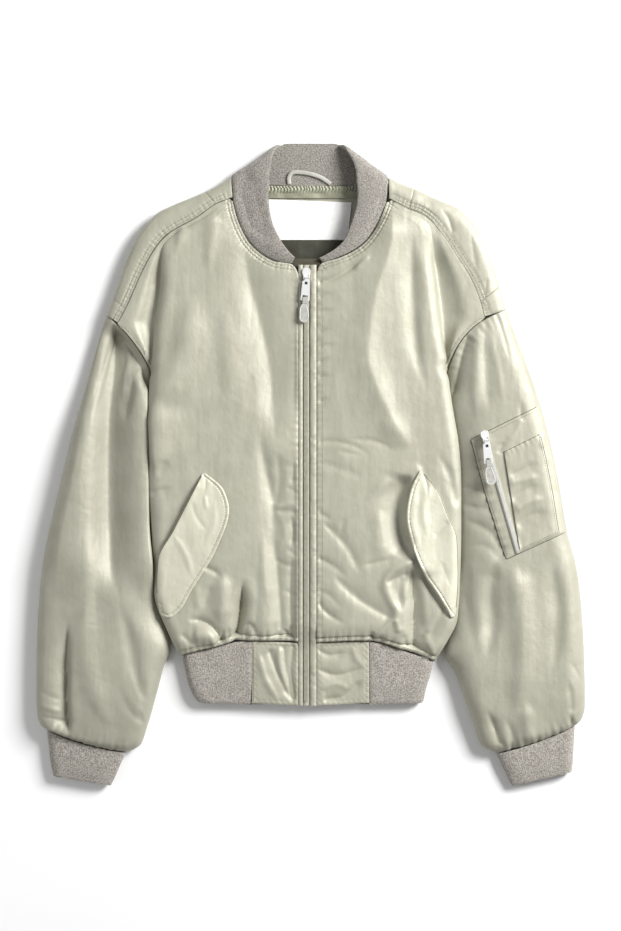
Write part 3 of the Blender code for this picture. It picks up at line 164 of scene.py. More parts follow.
TAG_ROUND, TAG_START, TAG_END = 6.2, -34.0, -56.5   # the tag's round end, along the pull
TAG_TOP, PULL_TOP = 1.1, 0.75                       # heights of their upper faces over the pin
RIM_IN, RIM_START = 1.3, 1.9    # the tag's raised rim: in from its edge, half its width at the top
# Painted shade: the pull's hole is a flat dark disc on its face.
HOLE_PLACE, HOLE_RADIUS, HOLE_HALF = -7.2, 1.7, 0.6     # the hole in the pull
EASED_ANGLE = 40                                    # edges of the hardware sharper than this are eased
# Each zip's prefix and moving body, its pin's place, and the turn and tilt of its pull.
PULLS = (("front_zip", FRONT_PULLER, (-5.5, 233.0, 29.0), -3.5, 0.8),
         ("sleeve_zip", SLEEVE_PULLER, (218.0, 30.0, 38.311), 6.5, 0.0))

# Puckers of each kind of seam: how far they reach, their period, height and seed.
PUCKERS = {"hem": (12, 8.5, 1.0, 41), "zip": (7, 8.5, 0.45, 43), "sleeve head": (14, 9, 0.5, 31),
           "cuff": (13, 9, 0.9, 30), "flap": (7, 6.0, 0.3, 73), "pocket": (9, 11.0, 0.8, 82),
           "pen": (6, 7.0, 0.4, 84)}
# Rows of stitches beside each kind of seam, and the height, period and seed of their puckers.
TOPSTITCHES = {"hem": ((4.5,), 0.35, 5.0, 42), "neck": ((3.4, 7.2), 0.55, 4.6, 44),
               "shoulder": ((2.6,), 0.25, 6.0, 46), "armhole": ((4.6,), 0.5, 5.2, 48),
               "strip": ((2.4, 6.4), 0.4, 5.4, 19)}
# How much a wave's crests wander and how slowly, and its second wave's height and period.
PUCKER_WAVE, STITCH_WAVE = (1.1, 2.3, 0.6, 1.7), (1.3, 1.9, 0.5, 1.55)
TOPSTITCH_REACH = 8     # they are looked for this far beyond the last row
GROOVE_DEPTH, GROOVE_HALF = 0.75, 1.1   # of a row of stitches
GRAIN_CELLS = 256       # cells after which the random relief repeats
STREAKS = ((0.22, 0.12, 0.16, 13), (0.10, -0.08, 0.2, 6))   # height, slant, squeeze and cell
CRINKLE_PATCH, CRINKLE_HEIGHT, CRINKLE_CELL = 45, 0.10, 4.5
RIPPLE_SEEDS = {"front": 3, "sleeve": 11, "strip": 17, "flap": 71, "pocket": 81, "pen": 83}
# Layers of random relief: height, squeeze across and down, cell and seed.
UNEVEN = {"cuff": ((0.25, 1, 1, 14, 5),), "back": ((0.25, 1, 1, 30, 2),), "underside": ((0.12, 1, 1, 22, 4),),
          "hem rib": ((0.5, 1, 0.4, 24, 8), (0.25, 1, 1, 9, 9)),
          "strip": ((1.0, 0.2, 1, 5.2, 7), (0.6, 0.3, 1, 2.6, 8)), "tab": ((0.5, 1, 1, 12, 21),),
          "collar": ((0.35, 1, 1, 16, 51), (0.8, 1, 1, 46, 52)), "lining": ((0.5, 1, 1, 14, 61),),
          "label": ((0.3, 1, 1, 30, 62),), "facing": ((1.0, 1, 1, 11, 63),),
          "ruches": ((0.012, 1, 1, 9, 64),)}
END_REACH = 0.35        # share of a crease's reach that is left at its faded ends
FINE_REACH, BROAD_REACH = 3.5, 11   # reaches of the narrow and of the wide creases

# Looks: the dark and the light colour that noise mixes in each material.
SATIN_COLOURS = ((0.375, 0.365, 0.287), (0.425, 0.414, 0.332))
# Painted light and shade: flaps get a lighter and sleeves a darker copy of the body's satin, for how the
# light falls on them.
FLAP_PAINTED_LIGHT, SLEEVE_PAINTED_SHADE = 1.42, 0.91   # the satin of flaps and sleeves against the body's
# Painted shade: the neck facing's satin is darker than the body's, for the shade inside the neck, and a
# little greener.
FACING_PAINTED_SHADE_COLOURS = ((0.24, 0.242, 0.172), (0.30, 0.302, 0.222))
CORD_COLOURS = ((0.36, 0.352, 0.31), (0.46, 0.45, 0.40))
GUARD_COLOURS = ((0.045, 0.041, 0.025), (0.07, 0.064, 0.042))
# Painted shade: the lining is near black, for the shade deep inside the neck.
LINING_PAINTED_SHADE_COLOURS = ((0.030, 0.030, 0.020), (0.060, 0.060, 0.042))
RIB_COLOURS = ((0.165, 0.15, 0.128), (0.43, 0.40, 0.356))
COLLAR_SHADE = 0.78     # the collar's knit against the other ribs
LABEL_COLOURS = ((0.86, 0.86, 0.84), (0.93, 0.93, 0.91))
TAPE_COLOURS = ((0.43, 0.42, 0.335), (0.52, 0.508, 0.41))
THREAD_COLOURS = ((0.17, 0.163, 0.12), (0.25, 0.24, 0.185))
# Painted shade: dark lines that stand for the shadow in the gaps of seams.
SEAM_SHADOW_COLOURS = ((0.06, 0.056, 0.038), (0.10, 0.095, 0.068))
# Painted shade: the near-black disc that stands for the pull's hole.
HOLE_PAINTED_SHADE_COLOURS = ((0.02, 0.02, 0.02), (0.04, 0.04, 0.04))
METAL_COLOURS = ((0.92, 0.92, 0.91), (0.99, 0.99, 0.98))
TAG_COLOURS = ((0.33, 0.33, 0.30), (0.43, 0.43, 0.40))
RIM_COLOURS = ((0.52, 0.52, 0.48), (0.62, 0.62, 0.58))
FLOOR_COLOURS = ((0.90, 0.90, 0.90), (0.93, 0.93, 0.93))
FLOOR_HALF, FLOOR_Z = 6.0, -0.0004      # in metres
SATIN_BUMPS = (((55, 9, 40), 2.0, 0.0020), ((150, 110, 120), 4.0, 0.0009))  # scale, detail and depth

# ------------------------------------------------------------------- panels
# Side of the body from the hem seam up to the underarm.
SIDE = {
    RIGHT: (("y", "out"),
            (-240, 163), (-229, 170), (-212, 178), (-192, 187), (-170, 195), (-120, 197),
            (-70, 200), (-20, 203), (18, 203), (68, 204), (93, 202.5), (117, 200.5)),
    LEFT: (("y", "out"),
           (-247, 155), (-229, 166), (-217, 173), (-202, 181), (-188, 184), (-129, 187),
           (-96, 188), (-20, 188), (24, 185), (55, 180), (87, 175), (117, 171)),
}
# Crease where the body front folds over towards the dropped shoulder.
CREASE = {
    RIGHT: (("y", "out"), (117, 200.5), (127, 199), (177, 194), (221, 188), (260, 186), (280, 182)),
    LEFT: (("y", "out"), (117, 171), (127, 170), (168, 163), (218, 157), (260, 152), (292, 150)),
}
# Shoulder strip: its front seam and the folded outer edge, sleeve end first.
SHOULDER = {
    RIGHT: (("seam_out", "seam_y", "edge_out", "edge_y"),
            (242, 177, 256, 186), (232, 195, 248, 207), (208, 248, 230, 258),
            (190, 277, 212, 294), (175, 291, 190, 316), (143, 309, 157, 331),
            (119, 326, 133, 341), (106, 331, 115, 350.5), (98, 333.5, 100.5, 359.5)),
    LEFT: (("seam_out", "seam_y", "edge_out", "edge_y"),
           (218, 184.5, 245.5, 192.5), (213, 204, 237, 222), (201, 233, 222, 268),
           (184, 260, 206, 298), (169, 283, 186, 320), (144, 311, 158, 332),
           (123, 320, 130, 345.5), (111, 326, 110, 353), (98, 332, 97.5, 359.5)),
}
# Neck seam of the front, and the collar's free edge, zip end first.
NECK = {
    RIGHT: (("out", "y"), (15.9, 249.5), (40, 252), (56, 259), (74, 273), (86, 292), (94, 313), (97.5, 328)),
    LEFT: (("out", "y"), (7.1, 249.5), (29, 256), (52, 266), (68, 278), (82, 297), (90, 314), (94.5, 327)),
}
COLLAR_EDGE = {
    RIGHT: (("out", "y"), (12, 250.5), (20, 258), (31, 270), (41, 286), (47, 299), (51, 315),
            (53, 334), (52, 350)),
    LEFT: (("out", "y"), (0, 250), (14, 259), (28, 267), (42, 281), (49, 299), (56, 319),
           (58, 337), (57, 352)),
}
# The collar's fold to the back: neck seam point and free edge point, front first.
COLLAR_FOLD = {
    RIGHT: (("neck_out", "neck_y", "neck_z", "edge_out", "edge_y", "edge_z"),
            (98.2, 342, 22.5, 52, 360, 25.5), (98.8, 352, 20.5, 50, 376, 23.5),
            (99.6, 358.5, 16.0, 47, 392, 19.0),
            (99.8, 361.5, 10.5, 42, 401, 11.5), (98.2, 361.2, 5.0, 39, 401.8, 5.5),
            (93.5, 358.8, 1.2, 36, 402.6, 1.2), (84.0, 355.0, 0.0, 31, 402.9, 0.0),
            (44.0, 351.0, 0.0, 17, 403, 0.0)),
    LEFT: (("neck_out", "neck_y", "neck_z", "edge_out", "edge_y", "edge_z"),
           (95.6, 342, 22.5, 57, 360, 25.5), (96.2, 352, 20.5, 54, 376, 23.5),
           (97.0, 358.5, 16.0, 47, 391, 19.0),
           (97.2, 361.5, 10.5, 41, 401, 11.5), (95.6, 361.2, 5.0, 38, 401.8, 5.5),
           (91.0, 358.8, 1.2, 35, 402.6, 1.2), (82.0, 355.0, 0.0, 30, 402.9, 0.0),
           (44.0, 351.0, 0.0, 16, 403, 0.0)),
}
# Seam of the front and the hem rib, and the bottom edge of the rib's side.
HEM_SEAM = {
    RIGHT: (("out", "y"), (0, -224), (71, -221.5), (91, -222), (115, -228), (140, -234), (163, -240)),
    LEFT: (("out", "y"), (0, -224), (71, -221.5), (91, -225), (115, -233), (140, -241), (155, -247)),
}
HEM_SIDE = {
    RIGHT: (("down", "out"), (0, 161), (21, 157), (38, 153), (51, 148), (60, 141)),
    LEFT: (("down", "out"), (0, 154), (12, 152.5), (30, 147), (45, 144), (60, 141)),
}
# Sleeve rings from the armhole to the cuff: outer edge, inner edge, how far the
# ring bows towards the shoulder, height of the top, and how far the inner edge is
# flattened where it lies under the body.
RING_COLUMNS = ("outer_out", "outer_y", "inner_out", "inner_y", "bow", "top", "tuck")
SLEEVE = {
    RIGHT: (RING_COLUMNS,
            (256.0, 186, 201.6, 117.0, 5.5, 23, 1.0), (265, 158, 200.0, 92, 4.0, 25, 1.0),
            (276, 118, 196.0, 58, 2, 27, 1.0), (287, 80, 195.0, 25, 0, 28, 1.0),
            (299, 38, 195.0, -12, 0, 28, 1.0), (311, -11, 193.0, -55, 0, 28, 1.0),
            (321, -53, 190.5, -95, 0, 28, 1.0), (330, -92, 188.5, -130, 0, 28, 1.0),
            (336, -125, 188.0, -160, 0, 28, 1.0), (340.5, -170, 181.5, -193, 0, 28, 1.0),
            (343, -213, 175, -226, 0, 28, 0.6), (344, -257, 184, -252, 0, 29, 0.3),
            (344, -292, 194, -290, 0, 29, 0.0), (342.5, -316, 205, -328, -3, 27, 0.0),
            (338, -327, 214, -352, -6, 24, 0.0), (331.5, -332, 229, -360.5, -4, 18, 0.0)),
    LEFT: (RING_COLUMNS,
           (245.5, 192.5, 171.4, 117.0, 15, 23, 1.0), (257, 160, 171.5, 96, 12, 25, 1.0),
           (272, 121, 169.5, 62, 6, 27, 1.0), (288, 74, 176.5, 19, 0, 28, 1.0),
           (300.5, 27, 179.5, -32, 0, 28, 1.0), (311.5, -26, 180.0, -88, 0, 28, 1.0),
           (321, -83, 178.0, -148, 0, 28, 1.0), (331, -120, 176.0, -183, 0, 28, 1.0),
           (337, -158, 171.0, -212, 0, 28, 1.0), (340.5, -196, 166.5, -236, 0, 29, 0.4),
           (342.5, -240, 181, -262, 0, 29, 0.2), (343.5, -280, 194, -298, 0, 29, 0.0),
           (343.5, -302, 205, -330, -2, 27, 0.0), (340, -318, 214, -353, -5, 24, 0.0),
           (332.5, -327, 231, -362, -3, 18, 0.0)),
}
CUFF = {
    RIGHT: (RING_COLUMNS,
            (331.2, -333.0, 232, -361.5, -4, 17, 0), (329, -352, 238, -375, -2, 17, 0),
            (326.5, -374, 245, -391, -1, 16, 0), (323.5, -391, 251, -403, 0, 14, 0)),
    LEFT: (RING_COLUMNS,
           (331.2, -328.0, 233, -363, -3, 17, 0), (330, -349, 239, -377, -2, 17, 0),
           (329, -370, 246, -391, -1, 16, 0), (327.5, -386, 252, -403, 0, 14, 0)),
}
# Slanted pocket flaps: the seam and the free edge, top first.
FLAP = {
    RIGHT: {"seam": (("out", "y"), (134, -9), (153, -46), (172, -83), (191, -120), (192.5, -150),
                     (191.5, -171)),
            "free": (("out", "y"), (134, -9), (109, -32), (102, -57), (118, -106), (149, -158),
                     (164, -183), (178, -192), (189, -187), (191.5, -171))},
    LEFT: {"seam": (("out", "y"), (137, -6), (158, -33), (171, -64), (182.5, -94), (184, -140),
                    (181, -190)),
           "free": (("out", "y"), (137, -6), (124, -33), (119, -65), (125, -97), (141, -137),
                    (159, -164), (171, -184), (176, -191), (181, -190))},
}
# Utility pocket on the left sleeve, as shares of the way along and round it.
POCKET_TOP_RING, POCKET_BOTTOM_RING = 3, 6
POCKET_EDGE = (("along", "out"), (0, 200), (0.25, 209), (0.5, 219), (0.75, 231), (1, 244))
PEN_EDGE = (("along", "out"), (0, 235), (0.35, 243), (0.7, 252), (1, 260.5))
# The two sleeve pockets: edge at the body, first and last share along it, outer margin.
POCKETS = {"pocket": (POCKET_EDGE, 0, 1, 3.0), "pen": (PEN_EDGE, 0.22, 0.985, 10.0)}
SLEEVE_ZIP = ((216.0, 37.0), (258.5, -110.0))     # out and y of its two ends
SLEEVE_TAPE_HALF = 3.6

# ------------------------------------------------------------------- the view
PIXEL = 1.25                        # millimetres of cloth for each pixel of the view
MIDDLE_PX, MIDDLE_PY = 310.9, 464.25    # the pixel of the frame's origin
VIEW_WIDTH, VIEW_HEIGHT = 621, 931
CLOTH_TOP = 20.0                    # height of the plane that the pixels are measured in
LENS, SENSOR = 100.0, 36.0

# Creases of the cloth: the route in the view's pixels, the reach in millimetres of its
# flank before the line (left of it, or above a level one) and of the one after it, the
# height (negative for a trough), and the shares of its length that fade in and out.
ROUND, CRISP = 2.0, 1.3             # how a crease's flanks meet: in a curve or in an edge
BROAD_DEPTH, FINE_DEPTH = 1.75, 0.8      # how much deeper the wide and the narrow ones are drawn
# Wrinkles that the zip draws into the left front: y of their start, x and y of their end.
ZIP_WRINKLES = [(((316, start), (x, y)), 2.8, 3.0, -2.2, CRISP, 0.1, 0.7) for start, x, y in (
    (297, 337, 293), (312, 338, 310), (332, 334, 329), (347, 341, 344),
    (364, 334, 357), (378, 336, 375), (402, 332, 398))]
FRONT_CREASES = {
    RIGHT: (
        (((195, 290), (188, 325), (180, 362), (167, 388), (154, 418)), 15, 26, 3.0, ROUND, 0.35, 0.3),
        (((152, 396), (154, 440), (158, 486)), 5, 30, 3.2, ROUND, 0.3, 0.4),
        (((184, 224), (174, 258)), 5, 8, 1.6, ROUND, 0.2, 0.6),
        (((213, 210), (211, 240), (208, 280)), 9, 9, 1.5, ROUND, 0.2, 0.6),
        (((243, 236), (249, 277), (259, 316), (266, 345), (271, 374), (273, 410), (276, 447)),
         18, 26, -4.8, CRISP, 0.3, 0.3),
        (((222, 300), (230, 350), (232, 410)), 14, 14, 1.2, ROUND, 0.4, 0.4),
        (((258, 428), (265, 469), (272, 495), (274, 520)), 6, 8, -1.9, CRISP, 0.3, 0.3),
        (((277, 450), (279, 486), (275, 507)), 4, 9, -2.2, CRISP, 0.3, 0.1),
        (((275, 507), (289, 504), (301, 507)), 3.0, 3.5, 1.9, CRISP, 0.1, 0.1),
        (((276, 512), (289, 511), (300, 513)), 3.0, 4.0, -1.6, ROUND, 0.2, 0.1),
        (((277, 510), (285, 531), (274, 558)), 3.0, 4.5, 1.1, CRISP, 0.1, 0.2),
        (((291, 513), (294, 530), (292, 549)), 7, 2.5, -2.8, CRISP, 0.3, 0.3),
        (((294, 458), (293, 488)), 6, 2.5, -2.2, CRISP, 0.3, 0.3),
        (((262, 440), (270, 490), (275, 530), (279, 580), (282, 638)), 13, 24, -3.4, CRISP, 0.25, 0.0),
        (((285, 487), (301, 493)), 2.6, 3.0, -1.7, CRISP, 0.3, 0.1),
        (((286, 549), (301, 556)), 2.6, 3.0, -1.8, CRISP, 0.3, 0.1),
        (((275, 558), (283, 564), (301, 566)), 2.8, 3.2, -1.9, CRISP, 0.2, 0.1),
        (((281, 590), (300, 595)), 2.8, 3.2, -1.4, CRISP, 0.3, 0.1),
        (((168, 459), (156, 479)), 5, 5, -2.3, ROUND, 0.3, 0.4),
        (((150, 494), (174, 487)), 4, 4.5, -2.3, ROUND, 0.1, 0.5),
        (((270, 526), (276, 563), (282, 636)), 7, 5, -2.0, CRISP, 0.2, 0.1),
        (((243, 576), (240, 608), (235, 646)), 4, 8, -15.0, CRISP, 0.45, 0.0),
        (((222, 570), (223, 598), (220, 626)), 10, 10, 2.4, ROUND, 0.3, 0.3),
        (((186, 619), (204, 622), (214, 629), (221, 642)), 5, 3.0, -6.0, CRISP, 0.35, 0.0),
        (((192, 634), (206, 635), (217, 645)), 8, 9, 2.6, ROUND, 0.2, 0.1),
        (((181, 634), (196, 646)), 3.5, 4, -2.6, CRISP, 0.1, 0.3),
        (((204, 567), (215, 572), (223, 580)), 4.0, 2.6, -3.6, CRISP, 0.1, 0.4),
        (((211, 582), (204, 614)), 5, 5, -1.8, ROUND, 0.3, 0.4),
        (((196, 583), (198, 612)), 5, 5, 1.6, ROUND, 0.3, 0.4),
        (((253, 556), (257, 600), (254, 640)), 5, 6, -1.6, CRISP, 0.3, 0.1),
        (((262, 528), (264, 575), (268, 612)), 4, 5, 1.3, ROUND, 0.3, 0.3),
        (((248, 616), (245, 642)), 3, 3, -2.4, CRISP, 0.5, 0.0),
        (((274, 620), (277, 642)), 3, 3, -2.4, CRISP, 0.5, 0.0),
        (((253, 622), (247, 640)), 2.6, 2.6, -3.2, CRISP, 0.4, 0.0),
        (((243, 628), (249, 624), (259, 641)), 2.6, 2.6, -2.6, CRISP, 0.3, 0.0),
        (((283, 628), (290, 641)), 2.6, 2.6, -3.0, CRISP, 0.4, 0.0),
        (((294, 622), (286, 641)), 2.6, 2.6, -2.6, CRISP, 0.4, 0.0),
        (((292, 552), (291, 596), (293, 642)), 6, 4, -3.4, CRISP, 0.3, 0.0),
        (((224, 628), (222, 642)), 2.4, 2.4, -3.0, CRISP, 0.4, 0.0),
        (((229, 626), (228, 642)), 2.4, 2.4, -3.0, CRISP, 0.4, 0.0)),
    LEFT: (
        (((392, 208), (392, 236), (386, 262), (376, 290), (370, 325), (368, 359), (377, 388),
          (398, 430), (413, 456)), 27, 20, 4.4, CRISP, 0.1, 0.3),
        (((412, 232), (413, 300), (417, 350), (428, 398)), 11, 8, -2.8, ROUND, 0.3, 0.4),
        (((314, 284), (330, 280), (347, 271), (364, 258)), 4.0, 3.0, -4.6, CRISP, 0.1, 0.3),
        (((352, 272), (371, 254)), 3.5, 4.0, 1.5, ROUND, 0.3, 0.3),
        *ZIP_WRINKLES,
        (((435, 452), (448, 471), (453, 490), (459, 510)), 5, 5, -2.6, ROUND, 0.4, 0.2),
        (((314, 441), (337, 442), (357, 447), (374, 459)), 3.0, 3.6, -1.9, CRISP, 0.1, 0.4),
        (((336, 450), (362, 456)), 2.6, 3.0, -1.4, CRISP, 0.3, 0.4),
        (((346, 439), (378, 442), (400, 454)), 3.0, 3.6, -1.7, CRISP, 0.3, 0.4),
        (((422, 468), (402, 478), (385, 484), (362, 508)), 8, 8, 1.6, ROUND, 0.05, 0.5),
        (((316, 462), (345, 470), (368, 480)), 5, 5, -1.0, ROUND, 0.2, 0.4),
        (((313, 509), (335, 522)), 3.0, 3.8, -2.0, CRISP, 0.1, 0.5),
        (((321, 521), (339, 538), (348, 549), (361, 577)), 4.0, 6.0, -2.8, CRISP, 0.2, 0.3),
        (((313, 556), (332, 565), (349, 580)), 3.5, 4.0, -2.4, CRISP, 0.1, 0.4),
        (((344, 516), (340, 537)), 2.8, 2.8, -1.4, ROUND, 0.3, 0.3),
        (((314, 588), (330, 596), (344, 612)), 3.5, 4.0, -1.6, CRISP, 0.1, 0.4),
        (((411, 474), (401, 492), (398, 514), (402, 537), (413, 560)), 16, 7, -6.0, ROUND, 0.15, 0.2),
        (((330, 572), (352, 594), (374, 609), (394, 620)), 10, 5, -2.6, CRISP, 0.3, 0.1),
        (((411, 566), (413, 600), (412, 648)), 3, 18, -5.5, CRISP, 0.15, 0.0),
        (((428, 640), (436, 622), (447, 604)), 3, 6, -2.6, CRISP, 0.2, 0.2),
        (((396, 632), (396, 611), (389, 597), (385, 585), (390, 573), (403, 565), (416, 561)),
         5, 6, 3.2, ROUND, 0.2, 0.1),
        (((405, 574), (399, 592), (402, 612)), 5.5, 5.5, -3.0, ROUND, 0.2, 0.3),
        (((406, 562), (408, 600), (408, 650)), 3.0, 5.0, -4.2, CRISP, 0.2, 0.0),
        (((417, 572), (424, 600), (425, 632)), 5, 6, 2.2, ROUND, 0.2, 0.3),
        (((421, 568), (434, 594), (453, 622)), 5, 4, -2.8, ROUND, 0.2, 0.2),
        (((373, 640), (384, 628), (394, 620), (400, 634)), 3.0, 3.6, 3.4, CRISP, 0.1, 0.1),
        (((366, 635), (378, 641), (392, 650)), 2.6, 3.0, -4.0, CRISP, 0.3, 0.0),
        (((409, 652), (417, 640), (430, 630)), 2.8, 3.4, -4.2, CRISP, 0.0, 0.3),
        (((371, 629), (374, 645)), 2.4, 2.4, -4.0, CRISP, 0.4, 0.0),
        (((380, 632), (381, 646)), 2.2, 2.2, -3.4, CRISP, 0.4, 0.0),
        (((404, 632), (406, 654)), 4.0, 2.6, -5.0, CRISP, 0.3, 0.0),
        (((385, 584), (396, 578), (410, 572)), 3.6, 3.0, -3.6, CRISP, 0.2, 0.2),
        (((314, 592), (322, 608), (347, 626)), 3.4, 4.6, -3.6, CRISP, 0.1, 0.4),
        (((409, 650), (421, 634), (435, 657)), 3.0, 3.0, 2.4, CRISP, 0.1, 0.1),
        (((378, 416), (395, 432), (412, 448)), 14, 14, 1.8, ROUND, 0.4, 0.4),
        (((377, 506), (381, 535), (380, 563)), 9, 9, 1.2, ROUND, 0.3, 0.3),
        (((360, 566), (399, 557)), 3.5, 4.0, -2.2, CRISP, 0.3, 0.3)),
}
SLEEVE_CREASES = {
    RIGHT: (
        (((117, 322), (116, 340), (114, 374), (109, 417), (108, 471), (109, 530), (113, 572), (122, 604)),
         26, 44, -12.4, CRISP, 0.05, 0.3),
        (((145, 362), (145, 430), (146, 500), (148, 560), (154, 615)), 25, 4, 7.5, ROUND, 0.12, 0.25),
        (((100, 345), (92, 400), (88, 470), (86, 560), (84, 640)), 45, 18, 5.0, ROUND, 0.3, 0.3),
        (((120, 330), (130, 352), (125, 381), (121, 408)), 3.5, 6, 1.6, ROUND, 0.1, 0.5),
        (((136, 374), (132, 398), (126, 424)), 9, 3.0, -5.5, CRISP, 0.3, 0.4),
        (((160, 350), (150, 372), (139, 394)), 6, 6, -2.8, ROUND, 0.1, 0.4),
        (((92, 590), (84, 630), (93, 685), (112, 730)), 13, 16, 2.6, ROUND, 0.3, 0.3),
        (((118, 596), (131, 641), (140, 690), (150, 718)), 9, 8, -2.4, ROUND, 0.4, 0.3),
        (((69, 610), (67.5, 650), (67, 700), (69, 736)), 15, 3.2, -7.5, CRISP, 0.5, 0.12),
        (((39, 690), (52, 697), (62, 700)), 3.0, 3.5, -1.6, CRISP, 0.1, 0.3),
        (((39, 704), (52, 709), (63, 712)), 3.5, 3.5, 1.8, ROUND, 0.2, 0.2),
        (((40, 716), (66, 722)), 2.8, 3.2, -1.8, CRISP, 0.1, 0.1),
        (((118, 680), (127, 706), (146, 726)), 3.5, 4.0, -1.7, CRISP, 0.4, 0.2),
        (((128, 662), (141, 698), (154, 712)), 4, 5, 1.4, ROUND, 0.4, 0.3),
        (((137, 708), (147, 729)), 3.0, 3.5, -1.6, CRISP, 0.4, 0.1),
        (((89, 587), (113, 611)), 1.8, 2.0, -0.5, CRISP, 0.3, 0.3),
        (((86, 624), (104, 625)), 1.8, 2.0, -0.5, CRISP, 0.3, 0.3)),
    LEFT: (
        (((468, 333), (461, 355), (457, 372), (450, 400)), 4.0, 7.0, -4.6, CRISP, 0.1, 0.2),
        (((477, 326), (476, 360), (475, 398), (478, 424)), 6, 7, 1.5, ROUND, 0.1, 0.4),
        (((484, 334), (486, 372), (489, 412)), 6, 6, -1.2, ROUND, 0.3, 0.2),
        (((489, 318), (493, 350), (499, 380), (503, 410)), 4, 5, 1.0, ROUND, 0.1, 0.3),
        (((497, 314), (505, 341), (511, 368)), 4, 4, -1.6, CRISP, 0.05, 0.5),
        (((520.5, 400), (520.5, 417)), 2.6, 2.6, -1.2, CRISP, 0.5, 0.05),
        (((460, 487), (475, 489), (492, 495)), 4, 5, -2.6, CRISP, 0.3, 0.1),
        (((461, 504), (478, 508), (495, 508)), 4, 5, -2.2, CRISP, 0.3, 0.1),
        (((462, 518), (490, 532), (506, 558)), 5, 6, -2.4, CRISP, 0.3, 0.1),
        (((466, 546), (486, 546), (502, 561)), 4, 5, -1.8, CRISP, 0.4, 0.1),
        (((477, 463), (488, 480)), 4, 4, -2.0, ROUND, 0.3, 0.1),
        (((497, 560), (490, 592), (492, 626), (485, 664)), 12, 9, -3.0, ROUND, 0.2, 0.4),
        (((511, 562), (518, 600), (522, 650), (517, 700), (510, 722)), 13, 16, 3.0, ROUND, 0.15, 0.3),
        (((550, 556), (557, 610), (550, 684)), 10, 9, -1.9, ROUND, 0.3, 0.4),
        (((468, 556), (466, 600), (476, 655)), 9, 9, -1.5, ROUND, 0.3, 0.4),
        (((569, 659), (577, 672), (586, 688)), 2.8, 3.2, -2.2, CRISP, 0.3, 0.1),
        (((566, 676), (571, 700), (571, 716)), 4, 4, -2.0, ROUND, 0.4, 0.2),
        (((570, 712), (573, 732)), 3.2, 3.6, -4.2, CRISP, 0.5, 0.0),
        (((486, 708), (494, 727), (500, 744)), 7, 5, -4.6, CRISP, 0.5, 0.0),
        (((503, 714), (511, 731), (513, 749)), 3.5, 4.0, -3.2, CRISP, 0.5, 0.0),
        (((524, 698), (527, 725), (530, 744)), 9, 10, 2.2, ROUND, 0.4, 0.2)),
}
SHOULDER_CREASES = {
    RIGHT: (
        (((203, 195), (190, 205), (180, 214)), 4.0, 4.0, -0.8, CRISP, 0.4, 0.4),),
    LEFT: (
        (((441, 208), (448, 218), (453, 234)), 3.2, 3.2, -2.2, CRISP, 0.3, 0.1),
        (((470, 230), (473, 249), (477, 272)), 4.0, 4.0, -1.4, CRISP, 0.4, 0.3),
        (((487, 276), (485, 295)), 3.0, 3.0, -1.2, CRISP, 0.4, 0.1),
        (((418, 196), (428, 203), (436, 210)), 4.0, 4.0, -0.8, CRISP, 0.4, 0.4)),
}
TAB_CREASES = (
    (((258, 652), (266, 680), (280, 703)), 5, 4, 2.2, ROUND, 0.2, 0.3),
    (((268, 648), (277, 672), (290, 700)), 4, 6, -3.4, CRISP, 0.1, 0.2),
    (((283, 643), (285, 664), (294, 702)), 4, 5, -2.6, CRISP, 0.1, 0.1),
    (((279, 646), (280, 668), (290, 696)), 4, 5, 2.4, ROUND, 0.1, 0.2),
    (((293, 643), (291, 675), (293, 704)), 5, 4, -3.4, CRISP, 0.0, 0.1),
    (((313, 646), (328, 655), (348, 652)), 4, 5, -2.6, CRISP, 0.2, 0.3),
    (((315, 668), (333, 675), (364, 668)), 4, 5, -2.8, CRISP, 0.2, 0.3),
    (((322, 700), (342, 697), (363, 680)), 4, 5, -3.0, CRISP, 0.1, 0.2),
    (((320, 690), (336, 684), (350, 690)), 4, 4, 1.4, ROUND, 0.2, 0.2),
    (((352, 646), (357, 660), (366, 668)), 4, 4, 1.4, ROUND, 0.2, 0.2))
COLLAR_CREASES = (
    (((249, 160), (246, 195), (254, 222), (272, 246)), 9, 16, -2.6, ROUND, 0.3, 0.3),
    (((384, 188), (380, 215), (366, 240)), 8, 6, -1.5, ROUND, 0.3, 0.3))
FLAP_CREASES = {
    RIGHT: (
        (((190.5, 498), (197, 517), (209, 533)), 3.0, 3.0, -1.2, CRISP, 0.3, 0.3),
        (((205, 494), (207, 511)), 2.6, 2.6, 1.0, ROUND, 0.3, 0.3),
        (((173, 533), (186, 554), (193, 579)), 4.0, 4.0, 1.4, ROUND, 0.3, 0.3),
        (((203, 470), (206, 484), (204, 494)), 2.2, 2.2, -1.0, CRISP, 0.1, 0.4),
        (((200, 478), (190, 500), (182, 524)), 6.0, 6.0, 1.2, ROUND, 0.2, 0.5),
        (((215, 500), (214, 524), (203, 550)), 4.0, 4.0, 1.0, ROUND, 0.3, 0.4)),
    LEFT: (
        (((433, 538), (449, 520)), 3.0, 3.0, -1.6, CRISP, 0.2, 0.2),
        (((421, 470), (427, 486), (426, 500)), 2.4, 2.4, -1.2, CRISP, 0.1, 0.4),
        (((430, 482), (424, 510), (428, 540)), 6.0, 6.0, 1.4, ROUND, 0.2, 0.4),
        (((416, 490), (413, 520), (422, 556)), 4.0, 4.0, 0.8, ROUND, 0.2, 0.4),
        (((440, 560), (452, 590)), 5.0, 5.0, -1.0, CRISP, 0.3, 0.4)),
}
